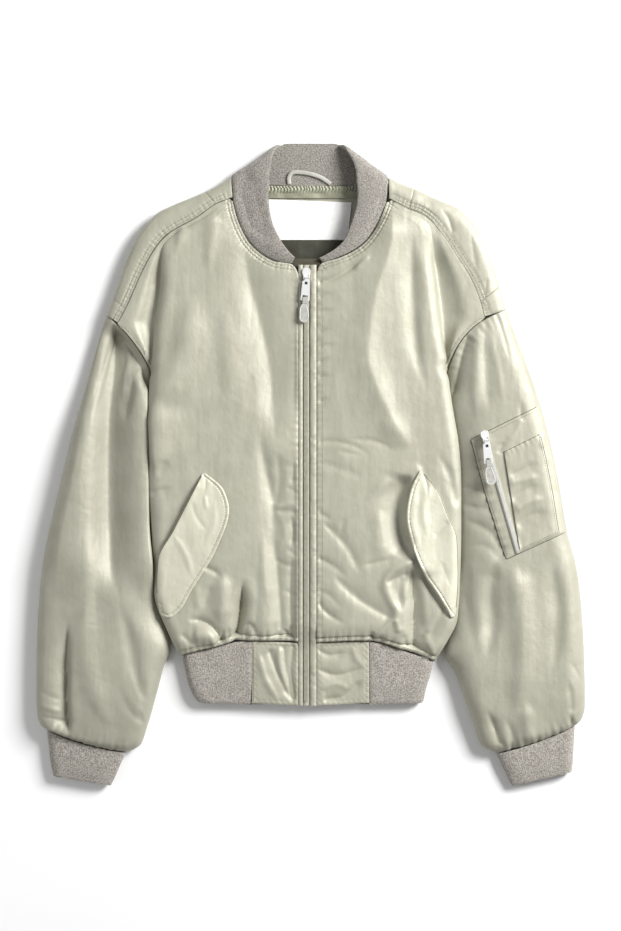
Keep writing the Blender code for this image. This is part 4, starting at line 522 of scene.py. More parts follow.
POCKET_CREASES = (
    (((503, 441), (498, 455)), 4.0, 4.0, -1.8, CRISP, 0.3, 0.2),
    (((521, 418), (515, 432), (505, 444)), 5.0, 4.0, 1.5, CRISP, 0.1, 0.3),
    (((507, 476), (522, 470), (537, 461)), 4.0, 5.0, -1.6, CRISP, 0.2, 0.3),
    (((506, 484), (522, 480), (541, 476)), 5.0, 4.0, 1.3, ROUND, 0.2, 0.3),
    (((509, 502), (524, 490), (540, 485)), 5.0, 6.0, -2.2, CRISP, 0.2, 0.3),
    (((512, 512), (527, 502), (545, 498)), 5.0, 5.0, 1.5, ROUND, 0.2, 0.3),
    (((514, 528), (530, 515), (548, 512)), 5.0, 6.0, -1.9, CRISP, 0.2, 0.3),
    (((546, 456), (551, 480), (556, 505)), 3.6, 5.0, -1.6, CRISP, 0.2, 0.3),
    (((545, 430), (540, 450)), 4.0, 4.0, 1.2, ROUND, 0.3, 0.3))


# ------------------------------------------------------------------- curves
def columns(table):
    """A table's rows as one array for each named column."""
    names, rows = table[0], np.array(table[1:], float)
    return {name: rows[:, i] for i, name in enumerate(names)}


def hermite(share, step, values, slope, i):
    """The cubic from value i to the next one, at a share of the step between them."""
    return ((1 + 2 * share) * (1 - share) ** 2 * values[i] + share * (1 - share) ** 2 * step * slope[i]
            + share * share * (3 - 2 * share) * values[i + 1]
            + share * share * (share - 1) * step * slope[i + 1])


def through(keys, values):
    """A smooth function through a table's points that never overshoots them."""
    keys, values = np.asarray(keys, float), np.asarray(values, float)
    step = np.diff(keys)
    rate = np.diff(values) / step
    slope = np.empty(len(keys))
    slope[0], slope[-1] = rate[0], rate[-1]
    for i in range(1, len(keys) - 1):
        turning = rate[i - 1] * rate[i] <= 0
        slope[i] = 0.0 if turning else 2 * rate[i - 1] * rate[i] / (rate[i - 1] + rate[i])

    def value(x):
        x = np.clip(x, keys[0], keys[-1])
        i = np.clip(np.searchsorted(keys, x) - 1, 0, len(keys) - 2)
        return hermite((x - keys[i]) / step[i], step[i], values, slope, i)
    return value


def line(table, key, name):
    data = columns(table)
    return through(data[key], data[name])


def summed(steps):
    """The sum of the steps up to each place between them."""
    return np.concatenate(([0], np.cumsum(steps)))


def lengths_along(points):
    return summed(np.linalg.norm(np.diff(points, axis=0), axis=1))


def path(table):
    """A plan curve through (out, y) rows, as a function of the length along it."""
    data = columns(table)
    points = np.stack((data["out"], data["y"]), 1)
    length = lengths_along(points)
    out, y = through(length, points[:, 0]), through(length, points[:, 1])
    return (lambda at: np.array((out(at), y(at)))), length[-1]


def smooth(start, end, x):
    share = np.clip((x - start) / (end - start), 0, 1)
    return share * share * (3 - 2 * share)


def bell(x, middle, width):
    return np.exp(-((x - middle) / width) ** 2)


def seen(route):
    """Places on the cloth, in millimetres, of a route in the view's pixels."""
    route = np.asarray(route, float)
    return np.stack(((route[:, 0] - MIDDLE_PX) * PIXEL, (MIDDLE_PY - route[:, 1]) * PIXEL), 1)


def curved(points, spacing=4.0):
    """Points at about equal steps on the smooth curve through a few points."""
    points = np.asarray(points, float)
    if len(points) < 3:
        count = max(2, int(np.linalg.norm(points[-1] - points[0]) / spacing) + 1)
        return points[0] + (points[-1] - points[0]) * np.linspace(0, 1, count)[:, None]
    length = lengths_along(points)
    at = np.linspace(0, length[-1], max(3, int(length[-1] / spacing) + 1))
    return spline(length, points, at)


def spline(keys, values, at):
    """Rows of values at new keys, on parabolas blended from one row to the next."""
    step = np.diff(keys)
    wide = step.reshape(-1, *([1] * (values.ndim - 1)))
    rate = np.diff(values, axis=0) / wide
    slope = np.empty_like(values)
    slope[1:-1] = (rate[:-1] * wide[1:] + rate[1:] * wide[:-1]) / (wide[:-1] + wide[1:])
    slope[0], slope[-1] = rate[0], rate[-1]
    i = np.clip(np.searchsorted(keys, at, side="right") - 1, 0, len(keys) - 2)
    share = ((at - keys[i]) / step[i]).reshape(-1, *([1] * (values.ndim - 1)))
    return hermite(share, wide[i], values, slope, i)


def refined(grid, spacing, axis, dense_start=0.0, dense_end=0.0, dense=EDGE_STEP):
    """A coarse grid with more rows along one axis, closer together near its dense ends."""
    moved = np.moveaxis(grid, axis, 0)
    keys = summed(np.linalg.norm(np.diff(moved[..., :3], axis=0), axis=-1).mean(axis=1))
    marks = (0.0, dense_start, keys[-1] - dense_end, keys[-1])
    at = [0.0]
    for start, end, step in zip(marks[:-1], marks[1:], (dense, spacing, dense)):
        if end > start:
            at += list(np.linspace(start, end, max(2, int((end - start) / step) + 1))[1:])
    return np.moveaxis(spline(keys, moved, np.array(at)), 0, axis)


# ------------------------------------------------------------------- relief
def beside(route, x, y):
    """Signed distance from a curve, to the left positive, and the length along it."""
    starts, steps = route[:-1], np.diff(route, axis=0)
    lengths = np.linalg.norm(steps, axis=1)
    before = summed(lengths)
    nearest = np.full(x.shape, FAR)
    signed, along = np.zeros(x.shape), np.zeros(x.shape)
    for (x0, y0), (run, rise), length, start in zip(starts, steps, lengths, before):
        share = np.clip(((x - x0) * run + (y - y0) * rise) / (length * length), 0, 1)
        dx, dy = x - x0 - share * run, y - y0 - share * rise
        apart = dx * dx + dy * dy
        closer = apart < nearest
        nearest = np.where(closer, apart, nearest)
        side = np.where(run * dy - rise * dx >= 0, 1.0, -1.0)
        signed = np.where(closer, side * np.sqrt(apart), signed)
        along = np.where(closer, start + share * length, along)
    return signed, along, before[-1]


def near(route, x, y, reach):
    """Indices of the points within reach of a curve's box."""
    low, high = route.min(0) - reach, route.max(0) + reach
    return np.nonzero((x > low[0]) & (x < high[0]) & (y > low[1]) & (y < high[1]))


def crease_relief(creases, x, y):
    """Height that a list of creases adds at many places."""
    total = np.zeros(x.shape)
    for route, before, after, height, meet, fade_in, fade_out in creases:
        curve = curved(seen(route))
        run, rise = curve[-1] - curve[0]
        past = -np.sign(rise) if abs(rise) > abs(run) else -np.sign(run)
        inside = near(curve, x, y, 3 * max(before, after))
        signed, along, length = beside(curve, x[inside], y[inside])
        taper = fade(along / length, fade_in, fade_out)
        reach = np.where(signed * past > 0, after, before) * (END_REACH + (1 - END_REACH) * taper)
        wide = float(smooth(FINE_REACH, BROAD_REACH, (before + after) / 2))
        depth = FINE_DEPTH + (BROAD_DEPTH - FINE_DEPTH) * wide
        total[inside] += depth * height * taper * np.exp(-(np.abs(signed) / reach) ** meet)
    return total


def fade(share, start, end):
    """1 along a line but for a soft start and end over these shares of it."""
    rise = smooth(0, start, share) if start else 1.0
    return rise * (1 - smooth(1 - end, 1, share) if end else 1.0)


def uneven_wave(along, period, seed, wander, wander_period, second, second_period):
    """A wave from about -1 to 1 whose crests wander and differ in height."""
    shift = np.random.default_rng(seed).uniform(0, 2 * math.pi, 3)
    drift = wander * np.sin(along / (wander_period * period) + shift[1])
    first = np.sin(2 * math.pi * along / period + shift[0] + drift)
    return (first + second * np.sin(2 * math.pi * along / (second_period * period) + shift[2])) / (1 + second)


def puckers(curve, x, y, kind, vary=0):
    """Small uneven ripples square to a seam, which die away with the distance from it."""
    reach, period, height, seed = PUCKERS[kind]
    total = np.zeros(x.shape)
    inside = near(curve, x, y, 2.2 * reach)
    signed, along, _ = beside(curve, x[inside], y[inside])
    wave = uneven_wave(along, period, seed + vary, *PUCKER_WAVE)
    total[inside] = height * wave * bell(signed, 0, reach)
    return total


def topstitched(curve, x, y, kind, vary=0):
    """Grooves of the rows of stitches beside a seam, and the puckers that they draw in."""
    rows, height, period, seed = TOPSTITCHES[kind]
    total = np.zeros(x.shape)
    inside = near(curve, x, y, max(rows) + TOPSTITCH_REACH)
    signed, along, _ = beside(curve, x[inside], y[inside])
    apart = np.abs(signed)
    wave = uneven_wave(along, period, seed + vary, *STITCH_WAVE)
    relief = -sum(GROOVE_DEPTH * bell(apart, row, GROOVE_HALF) for row in rows)
    total[inside] = relief + height * wave * bell(apart, sum(rows) / len(rows), 0.75 * max(rows))
    return total


def grain(x, y, cell, seed):
    """Smooth random relief between -1 and 1 with features one cell wide."""
    lattice = np.random.default_rng(seed).uniform(-1, 1, (GRAIN_CELLS, GRAIN_CELLS))
    u, v = x / cell, y / cell
    i, j = np.floor(u).astype(int), np.floor(v).astype(int)
    s, t = smooth(0, 1, u - i), smooth(0, 1, v - j)

    def at(di, dj):
        return lattice[(i + di) % GRAIN_CELLS, (j + dj) % GRAIN_CELLS]
    return (at(0, 0) * (1 - s) + at(1, 0) * s) * (1 - t) + (at(0, 1) * (1 - s) + at(1, 1) * s) * t


def uneven(x, y, kind):
    """The random relief of one kind of cloth."""
    return sum(height * grain(x * across, y * down, cell, seed)
               for height, across, down, cell, seed in UNEVEN[kind])


def ripples(x, y, kind, vary=0):
    """The faint streaks of satin that hangs in long soft folds, and its fine slanted crinkle."""
    seed = RIPPLE_SEEDS[kind] + vary
    streaks = sum(height * grain(x + slant * y, y * squeeze, cell, seed + k)
                  for k, (height, slant, squeeze, cell) in enumerate(STREAKS))
    slant, across = x * 0.5 + y * 0.87, x * 0.87 - y * 0.5
    where = smooth(0.1, 0.7, grain(x, y, CRINKLE_PATCH, seed + 2))
    return streaks + CRINKLE_HEIGHT * where * grain(slant, across * 0.25, CRINKLE_CELL, seed + 3)


# ------------------------------------------------------------------- meshes
def unit(vectors):
    return vectors / np.maximum(np.linalg.norm(vectors, axis=-1, keepdims=True), TINY)


def tangents(grid, axis, around):
    """Directions along one axis of a grid, each the mean of its two neighbours'."""
    grid = np.moveaxis(grid, axis, 0)
    ahead = unit(np.roll(grid, -1, 0) - grid)
    behind = np.roll(ahead, 1, 0)
    if not around:
        ahead[-1] = behind[-1]
        behind[0] = ahead[0]
    return np.moveaxis(ahead + behind, 0, axis)


def outward(grid, top, around=False):
    """Outward directions of a grid whose cell (row, column) top looks up."""
    facing = unit(np.cross(tangents(grid, 1, around), tangents(grid, 0, False)))
    return facing if facing[top][2] > 0 else -facing


def quads(rows, cols, around):
    """Corner rows and columns of a grid's quads; a wrapped grid's last column is its first."""
    spans = cols if around else cols - 1
    row, col = np.meshgrid(np.arange(rows - 1), np.arange(spans), indexing="ij")
    corner_rows = np.stack((row, row, row + 1, row + 1), -1).reshape(-1, 4)
    corner_cols = np.stack((col, col + 1, col + 1, col), -1).reshape(-1, 4)
    return corner_rows, corner_cols


def shell(name, outer, inner, finish, around=False):
    """The closed cloth between two grids of points, with its lengths as texture coordinates."""
    rows, cols = outer.shape[:2]
    row, col = quads(rows, cols, around)
    parts = [(row, col, np.zeros_like(row)), (row[:, ::-1], col[:, ::-1], np.ones_like(row))]
    spans = np.arange(cols if around else cols - 1)
    level = np.array((0, 0, 1, 1))
    for edge, order in ((0, (1, 0, 0, 1)), (rows - 1, (0, 1, 1, 0))):
        corners = spans[:, None] + np.array(order)
        parts.append((np.full_like(corners, edge), corners, np.broadcast_to(level, corners.shape)))
    if not around:
        steps = np.arange(rows - 1)
        for edge, order in ((0, (0, 1, 1, 0)), (cols - 1, (1, 0, 0, 1))):
            corners = steps[:, None] + np.array(order)
            parts.append((corners, np.full_like(corners, edge), np.broadcast_to(level, corners.shape)))
    row, col, layer = (np.concatenate([part[i] for part in parts]) for i in range(3))
    faces = layer * rows * cols + row * cols + col % cols
    points = np.concatenate((outer.reshape(-1, 3), inner.reshape(-1, 3)))
    a, b, c, d = (points[faces[:, i]] for i in range(4))
    if (a * (np.cross(b, c) + np.cross(c, d))).sum() < 0:
        faces, row, col = faces[:, ::-1], row[:, ::-1], col[:, ::-1]
    closed = np.concatenate((outer, outer[:, :1]), 1) if around else outer
    along = summed(np.linalg.norm(np.diff(closed, axis=0), axis=2).mean(1))
    across = summed(np.linalg.norm(np.diff(closed, axis=1), axis=2).mean(0))
    uv = np.stack((across[col], along[row]), -1).reshape(-1, 2) * MM
    return made(name, points, faces.tolist(), finish, uv)


def made(name, points, faces, finish, uv=None, body=BODY):
    """One smooth object from points in millimetres, riding on a body."""
    slot, material = FINISHES[finish]
    mesh = bpy.data.meshes.new(name)
    mesh.from_pydata((np.asarray(points) * MM).tolist(), [], faces)
    if uv is not None:
        mesh.uv_layers.new(name="cloth").data.foreach_set("uv", uv.ravel())
    mesh.materials.append(material)
    mesh.shade_smooth()
    mesh.set_sharp_from_angle(angle=math.radians(DETAIL_SHARP if uv is None else CLOTH_SHARP))
    piece = bpy.data.objects.new(name, mesh)
    bpy.context.collection.objects.link(piece)
    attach(piece, body)
    return piece


def tree_of(grid, around=False):
    """A grid's quads, to find the height of the cloth under a place."""
    rows, cols = grid.shape[:2]
    row, col = quads(rows, cols, around)
    faces = (row * cols + col % cols).tolist()
    return BVHTree.FromPolygons(grid.reshape(-1, 3).tolist(), faces)


def height_under(trees, x, y):
    """Height of the topmost of several surfaces at a place."""
    hits = [tree.ray_cast(Vector((x, y, ABOVE_ALL)), Vector((0, 0, -1)))[0] for tree in trees]
    return max([hit.z for hit in hits if hit], default=0.0)


def heights_under(trees, plan):
    flat = plan.reshape(-1, 2)
    return np.array([height_under(trees, x, y) for x, y in flat]).reshape(plan.shape[:2])


def cut_of(grid, around=False):
    """Width, length and area, in metres, of the flat cloth that a smooth grid was cut from."""
    if around:
        grid = np.concatenate((grid, grid[:, :1]), 1)
    width = np.linalg.norm(np.diff(grid, axis=1), axis=2).sum(1).max()
    length = np.linalg.norm(np.diff(grid, axis=0), axis=2).sum(0).max()
    cross = np.cross(grid[1:, 1:] - grid[:-1, :-1], grid[1:, :-1] - grid[:-1, 1:])
    area = np.linalg.norm(cross, axis=2).sum() / 2
    return width * MM, length * MM, min(area, width * length) * MM * MM


def declare(smooth_grid, around=False):
    """Works out the flat size of the cloth that a piece's smooth form was cut from, and does nothing more
    with it.
    """
    width, length, area = cut_of(smooth_grid, around)
    width, length = max(width, LEAST_CUT), max(length, LEAST_CUT)
    area = max(area, LEAST_CUT_SHARE * width * length)


def panel(name, nodes, outer, inner, finish, smooth_grid, around=False):
    """One piece of cloth that stands for the named solids, and its outer grid."""
    piece = shell(name, outer, inner, finish, around)
    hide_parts(*nodes)
    declare(smooth_grid, around)
    return outer


def rolled(shape, spacing, edges=ALL_EDGES, reach=2.0, drop=0.5):
    """How far the cloth turns down at the named sides of a grid: a soft sewn edge."""
    rows, cols = shape
    row, col = np.meshgrid(np.arange(rows), np.arange(cols), indexing="ij")
    distance = np.full(shape, FAR)
    for edge in edges:
        steps = {"start": row, "end": rows - 1 - row, "left": col, "right": cols - 1 - col}[edge]
        distance = np.minimum(distance, steps * spacing)
    return drop * (1 - np.clip(distance / reach, 0, 1)) ** 2


def floored(grid, height=0):
    """The same grid with nothing under this height."""
    grid[..., 2] = np.maximum(grid[..., 2], height)
    return grid


def lined(grid, facing, thickness):
    """The inner side of a panel's grid, clear of the floor where the panel lies on it."""
    inner = grid - thickness * facing
    inner[..., 2] = np.where(grid[..., 2] < ON_FLOOR, thickness, inner[..., 2])
    return inner


# ------------------------------------------------------------------- materials
def shaded(colours, factor):
    return [tuple(factor * part for part in colour) for colour in colours]


class Shader:
    """A Principled material whose colour, roughness and bump come from its own nodes."""

    def __init__(self, name, roughness, metallic=0.0, **sockets):
        self.material = bpy.data.materials.new(name)
        self.material.use_nodes = True
        self.tree = self.material.node_tree
        self.principled = self.tree.nodes["Principled BSDF"]
        for socket, value in {"Roughness": roughness, "Metallic": metallic, **sockets}.items():
            self.principled.inputs[socket.replace("_", " ")].default_value = value
        self.coordinates = self.tree.nodes.new("ShaderNodeTexCoord").outputs
        self.place = self.coordinates["Object"]
        self.bump = None

    def node(self, kind, settings=(), **inputs):
        """A node with its settings, and its sockets set to a value or linked to an output."""
        made_node = self.tree.nodes.new(kind)
        for name, value in dict(settings).items():
            setattr(made_node, name, value)
        for name, value in inputs.items():
            socket = made_node.inputs[name.replace("_", " ")]
            if isinstance(value, bpy.types.NodeSocket):
                self.tree.links.new(value, socket)
            else:
                socket.default_value = value
        return made_node

    def stretched(self, source, scale):
        """Texture coordinates scaled along each axis."""
        return self.node("ShaderNodeMapping", Vector=self.coordinates[source], Scale=scale).outputs["Vector"]

    def noise(self, where, scale, detail=2.0):
        return self.node("ShaderNodeTexNoise", Vector=where, Scale=scale, Detail=detail).outputs["Fac"]

    def wave(self, where, scale, direction="X", distortion=0.0):
        return self.node("ShaderNodeTexWave", {"bands_direction": direction}, Vector=where,
                         Scale=scale, Distortion=distortion).outputs["Fac"]

    def colour(self, scale, detail, colours, low=0.3, high=0.7):
        """Base colour that noise of this scale mixes from a dark and a light one."""
        ramp = self.node("ShaderNodeValToRGB", Fac=self.noise(self.place, scale, detail))
        for element, position, colour in zip(ramp.color_ramp.elements, (low, high), colours):
            element.position = position
            element.color = (*colour, 1)
        self.tree.links.new(ramp.outputs["Color"], self.principled.inputs["Base Color"])

    def relief(self, height, distance, strength=0.5):
        """Adds a bump of this depth in metres on top of those before it."""
        step = self.node("ShaderNodeBump", Height=height, Distance=distance, Strength=strength)
        if self.bump:
            self.tree.links.new(self.bump.outputs["Normal"], step.inputs["Normal"])
        self.tree.links.new(step.outputs["Normal"], self.principled.inputs["Normal"])
        self.bump = step


def satin_material(name, colours, roughness, metallic=0.0):
    shader = Shader(name, roughness, metallic, Specular_IOR_Level=0.38, Sheen_Weight=0.06,
                    Sheen_Roughness=0.4)
    shader.colour(38.0, 4.0, colours)
    for scale, detail, depth in SATIN_BUMPS:
        shader.relief(shader.noise(shader.stretched("Object", scale), 1.0, detail), depth)
    shader.relief(shader.wave(shader.stretched("UV", (1, 1, 1)), 620.0, "DIAGONAL", 1.5), 0.00006)
    return shader.material


def rib_material(name, shade=1.0):
    """Fine rib knit of mixed grey yarns."""
    shader = Shader(name, 0.88, Sheen_Weight=0.35, Sheen_Roughness=0.6, Specular_IOR_Level=0.25)
    shader.colour(620.0, 3.0, shaded(RIB_COLOURS, shade), 0.34, 0.66)
    shader.relief(shader.wave(shader.stretched("UV", (1, 1, 1)), 120.0, "X", 0.6), 0.0003, 0.35)
    shader.relief(shader.noise(shader.place, 900.0), 0.0005, 0.8)
    return shader.material


def woven_material(name, colours, roughness, scale, depth):
    shader = Shader(name, roughness, Specular_IOR_Level=0.3)
    shader.colour(180.0, 3.0, colours)
    for direction in "XY":
        shader.relief(shader.wave(shader.place, scale, direction, 0.3), depth, 0.6)
    return shader.material


def metal_material(name):
    shader = Shader(name, 0.34, 0.55)
    shader.colour(160.0, 3.0, METAL_COLOURS)
    shader.relief(shader.noise(shader.place, 700.0, 3.0), 0.00008)
    return shader.material


def tag_material(name, colours):
    shader = Shader(name, 0.46, Specular_IOR_Level=0.45)
    shader.colour(220.0, 3.0, colours)
    shader.relief(shader.noise(shader.place, 1500.0), 0.00006, 0.6)
    return shader.material


# Each finish: its slot and its material.
FINISHES = {
    "satin": ("satin", satin_material("padded_satin", SATIN_COLOURS, 0.50, 0.15)),
    # painted light: a lighter copy of the satin for the flaps
    "flap": ("satin", satin_material("flap_satin_painted_light", shaded(SATIN_COLOURS, FLAP_PAINTED_LIGHT), 0.50, 0.15)),
    # painted shade: a darker copy of the satin for both sleeves
    "sleeve": ("satin", satin_material("sleeve_satin_painted_shade", shaded(SATIN_COLOURS, SLEEVE_PAINTED_SHADE), 0.50, 0.15)),
    # painted shade: the facing's darker satin
    "facing": ("satin", satin_material("facing_satin_painted_shade", FACING_PAINTED_SHADE_COLOURS, 0.5, 0.1)),
    "cord": ("satin", satin_material("satin_cord", CORD_COLOURS, 0.6)),
    # painted shade: near-black satin for the lining in the neck's shade
    "lining": ("lining", satin_material("lining_painted_shade", LINING_PAINTED_SHADE_COLOURS, 0.5)),
    "guard": ("lining", satin_material("guard_twill", GUARD_COLOURS, 0.7)),
    "rib": ("rib", rib_material("rib_knit")),
    "collar": ("rib", rib_material("collar_rib_knit", COLLAR_SHADE)),
    "label": ("label", woven_material("blank_label", LABEL_COLOURS, 0.55, 900.0, 0.00008)),
    "tape": ("tape", woven_material("zip_tape_weave", TAPE_COLOURS, 0.75, 700.0, 0.0002)),
    "thread": ("satin", woven_material("sewing_thread", THREAD_COLOURS, 0.6, 1500.0, 0.0001)),
    # painted shade: the shadow in a seam's gap
    "seam": ("satin", woven_material("seam_shadow", SEAM_SHADOW_COLOURS, 0.8, 1500.0, 0.0001)),
    # painted shade: the dark disc that stands for the pull's hole
    "hole_painted_shade": ("metal", woven_material("pull_hole_painted_shade", HOLE_PAINTED_SHADE_COLOURS, 0.8, 1500.0, 0.0001)),
    "metal": ("metal", metal_material("zip_metal")),
    "tag": ("tag", tag_material("moulded_tag", TAG_COLOURS)),
    "rim": ("tag", tag_material("moulded_rim", RIM_COLOURS)),
}


# ------------------------------------------------------------------- sleeves
def ring_width(ring):
    return math.hypot(ring["outer_out"] - ring["inner_out"], ring["outer_y"] - ring["inner_y"])


def ring_height(ring, share, upper):
    """Height of a sleeve ring's top or underside, share 0 to 1 from its outer edge."""
    from_outer, from_inner = share * ring_width(ring), (1 - share) * ring_width(ring)
    tuck, top = ring["tuck"], ring["top"]
    outer_mid = min(FOLD_MID, top / 2)
    middle = outer_mid + (INNER_MID - TUCK_DROP * tuck - outer_mid) * share

    def rise(distance, reach):
        return math.sqrt(max(0.0, 1 - (1 - min(1.0, distance / reach)) ** 2))

    if upper:
        full = rise(from_outer, OUTER_ROUND * top)
        full *= rise(from_inner, INNER_ROUND + TUCK_ROUND * tuck) ** (1 + TUCK_CURVE * tuck)
        return middle + (top - middle) * full
    return middle * (1 - rise(from_outer, UNDER_ROUND[0]) * rise(from_inner, UNDER_ROUND[1]))


def ring_plan(ring, share):
    """Plan place of a sleeve ring's point, share 0 to 1 from its outer edge."""
    run = ring["inner_out"] - ring["outer_out"]
    rise = ring["inner_y"] - ring["outer_y"]
    width = math.hypot(run, rise)
    bow = ring["bow"] * 4 * share * (1 - share)
    out = ring["outer_out"] + share * run + bow * rise / width
    return out, ring["outer_y"] + share * rise - bow * run / width


def ring_shares(count):
    """Shares round a ring: across the top from the outer edge and back below."""
    turn = 2 * math.pi * np.arange(count) / count
    return (1 - np.cos(turn)) / 2, np.sin(turn) >= -TINY


def ring_at(table, index):
    """A sleeve ring between two rows of the table."""
    data = columns(table)
    keys = np.arange(len(data["top"]))
    return {name: float(through(keys, values)(index)) for name, values in data.items()}


def ring_route(side, index, start, end, count):
    """Plan points across a sleeve ring, between two shares from its outer edge."""
    ring = ring_at(SLEEVE[side], index)
    return np.array([(side * out, y) for out, y in
                     (ring_plan(ring, share) for share in np.linspace(start, end, count))])


def placed(side, out, y, z):
    return np.array((side * out, y, z), float)


def tube_grid(side, table, indices, count):
    """Smooth outer points of a sleeve or cuff, ring by ring."""
    shares, upper = ring_shares(count)
    grid = np.empty((len(indices), count, 3))
    for row, index in enumerate(indices):
        ring = ring_at(table, index)
        for col in range(count):
            out, y = ring_plan(ring, shares[col])
            grid[row, col] = placed(side, out, y, ring_height(ring, shares[col], upper[col]))
    return grid


def even_indices(table, spacing):
    """Ring indices whose middles lie about one spacing apart."""
    data = columns(table)
    middle = np.stack([(data[f"outer_{axis}"] + data[f"inner_{axis}"]) / 2 for axis in ("out", "y")], 1)
    length = lengths_along(middle)
    at = np.linspace(0, length[-1], int(length[-1] / spacing) + 1)
    return np.interp(at, length, np.arange(len(length)))


def upward(facing, full=0.7):
    """1 where the cloth looks up and 0 where it looks down, with a soft change between."""
    return smooth(0.15, full, facing[..., 2])


def tube(side, name, nodes, table, count, thickness, finish, relief, spacing):
    """A closed tube of cloth with relief on its upper side."""
    indices = even_indices(table, spacing)
    grid = tube_grid(side, table, indices, count)
    facing = outward(grid, (len(grid) // 2, count // 4), around=True)
    lift = relief(indices, grid[..., 0], grid[..., 1])
    inner = floored(grid - thickness * facing, thickness)
    turned = rolled(grid.shape[:2], spacing, ("start", "end"))[..., None] * facing
    moved = facing * (lift * upward(facing, 0.75))[..., None]
    outer = floored(grid + moved - turned)
    return panel(name, nodes, outer, inner + moved, finish, grid, around=True)


def make_sleeve(side):
    last = len(SLEEVE[side]) - 2
    shares, upper = ring_shares(RING_STEPS)

    def relief(indices, x, y):
        edge = np.clip(np.minimum(8 * shares, 13 * (1 - shares)), 0, 1) * upper
        ends = smooth(0, 0.2, indices)[:, None] * np.ones(x.shape)
        lift = crease_relief(SLEEVE_CREASES[side], x, y) * ends * edge[None, :]
        lift += ripples(x, y, "sleeve", side) * ends
        lift += puckers(ring_route(side, 0, 0, 1, 24), x, y, "sleeve head") * upper
        lift += puckers(ring_route(side, last - 0.05, 0, 1, 24), x, y, "cuff", last) * upper
        return lift

    nodes = (f"sleeve_{NAME[side]}", f"lower_sleeve_{NAME[side]}")
    # The sleeve's satin is a darker copy of the body's: painted shade.
    return tube(side, f"sleeve_{NAME[side]}_cloth", nodes, SLEEVE[side], RING_STEPS, SATIN, "sleeve",
                relief, CLOTH_STEP)


def make_cuff(side):
    def relief(indices, x, y):
        return uneven(x, y, "cuff")
    tube(side, f"cuff_{NAME[side]}_knit", [f"cuff_{NAME[side]}"], CUFF[side], CUFF_STEPS, RIB, "rib",
         relief, CUFF_STEP)


# ------------------------------------------------------------------- fronts
def shoulder_station(side, at):
    """Seam and folded edge of the shoulder strip at a length along its seam."""
    data = columns(SHOULDER[side])
    length = summed(np.hypot(np.diff(data["seam_out"]), np.diff(data["seam_y"])))
    values = {name: float(through(length, column)(at)) for name, column in data.items()}
    return values, length


def shoulder_lengths(side):
    """Places along the seam: the band's end, the strip's inner end and the neck."""
    length = shoulder_station(side, 0)[1]
    return length[1], length[-3], length[-1]


def shoulder_stations(side):
    band, tip, end = shoulder_lengths(side)
    main = np.linspace(band, tip, 9)
    return [SEAM_START, band / 2], list(main), [(tip + end - TIP_CUT) / 2, end - TIP_CUT, end]


def centre_x(side):
    """How far from the middle the front panel ends beside the zip."""
    if side == RIGHT:
        return -(ZIP_X - TAPE_HALF - PLACKET_RIGHT - 2 * GAP)
    return ZIP_X + TAPE_HALF + PLACKET_LEFT + 2 * GAP


def neck_point(side, share):
    """Where the row at this share of the shoulder seam meets the zip or the neck."""
    curve, length = path(NECK[side])
    low = shoulder_station(side, 0)[0]["seam_y"]
    if share <= NECK_CORNER:
        return np.array((centre_x(side), low + (NECK_Y - low) * share / NECK_CORNER))
    return curve(length * (share - NECK_CORNER) / (1 - NECK_CORNER))


def front_rows(side):
    """Each row of a front: its outer end, its inner end and the kind of its side."""
    rows = []
    side_out = line(SIDE[side], "y", "out")
    bottom = SIDE[side][1][0]
    inner = centre_x(side)
    for y in [bottom + above for above in HEM_ROWS] + list(np.linspace(*MIDDLE_ROWS)) + list(UNDERARM_ROWS):
        rows.append(((float(side_out(y)), y), (inner, y), "side"))
    ring = ring_at(SLEEVE[side], 0)
    shares, upper = ring_shares(RING_POINTS)
    band_y = SHOULDER[side][1][1]
    for share in sorted((float(s) for s, up in zip(shares, upper) if up), reverse=True):
        out, y = ring_plan(ring, share)
        if y < band_y - 4 and share < 0.975:
            rows.append(((out - 0.4, y + 0.4), (inner, y + 0.4), "armhole"))
    band, main, tip = shoulder_stations(side)
    for at in band + main + tip[:-1]:
        place = shoulder_station(side, at)[0]
        share = at / (tip[-1] - TIP_CUT)
        rows.append(((place["seam_out"], place["seam_y"]), tuple(neck_point(side, share)), "shoulder"))
    return rows


def side_shape(side, row):
    """Distance in from the row's end, and height, of the columns up to the side's edge."""
    (out, y), _, kind = row
    if kind == "side":
        turned = float(smooth(LIP_START, LIP_FULL, y))
        end_z = SIDE_END
    else:
        turned = 0.0
        ring = ring_at(SLEEVE[side], 0)
        share = 1 - math.hypot(out - ring["inner_out"], y - ring["inner_y"]) / ring_width(ring)
        end_z = ring_height(ring, min(max(share, 0.0), 1.0), True) if kind == "armhole" else SEAM_TOP
        end_z = min(end_z, SEAM_TOP)
    crease = line(CREASE[side], "y", "out")
    wing = 0.0 if kind == "side" else max(out - float(crease(y)), 0.0)
    top_y = CREASE[side][-1][0]
    depth = float(smooth(top_y, top_y - WING_FADE, y))
    if kind == "armhole":
        wing = max(wing, LEAST_ARMHOLE_WING)
    if kind == "shoulder":
        wing = min(max(wing, LEAST_WING * (1 - depth)), MOST_WING * math.dist(*row[:2]))
    low, tip = (deep * depth + shallow * (1 - depth) for deep, shallow in (WING_LOW, WING_TIP))
    shape = []
    for (under, under_z), share in zip(UNDER, WING_SHARES):
        z = tip if share == 1 else end_z + (low - end_z) * float(smooth(0.4, 0.8, share))
        shape.append((turned * under + (1 - turned) * wing * share, turned * under_z + (1 - turned) * z))
    return shape, wing, tip


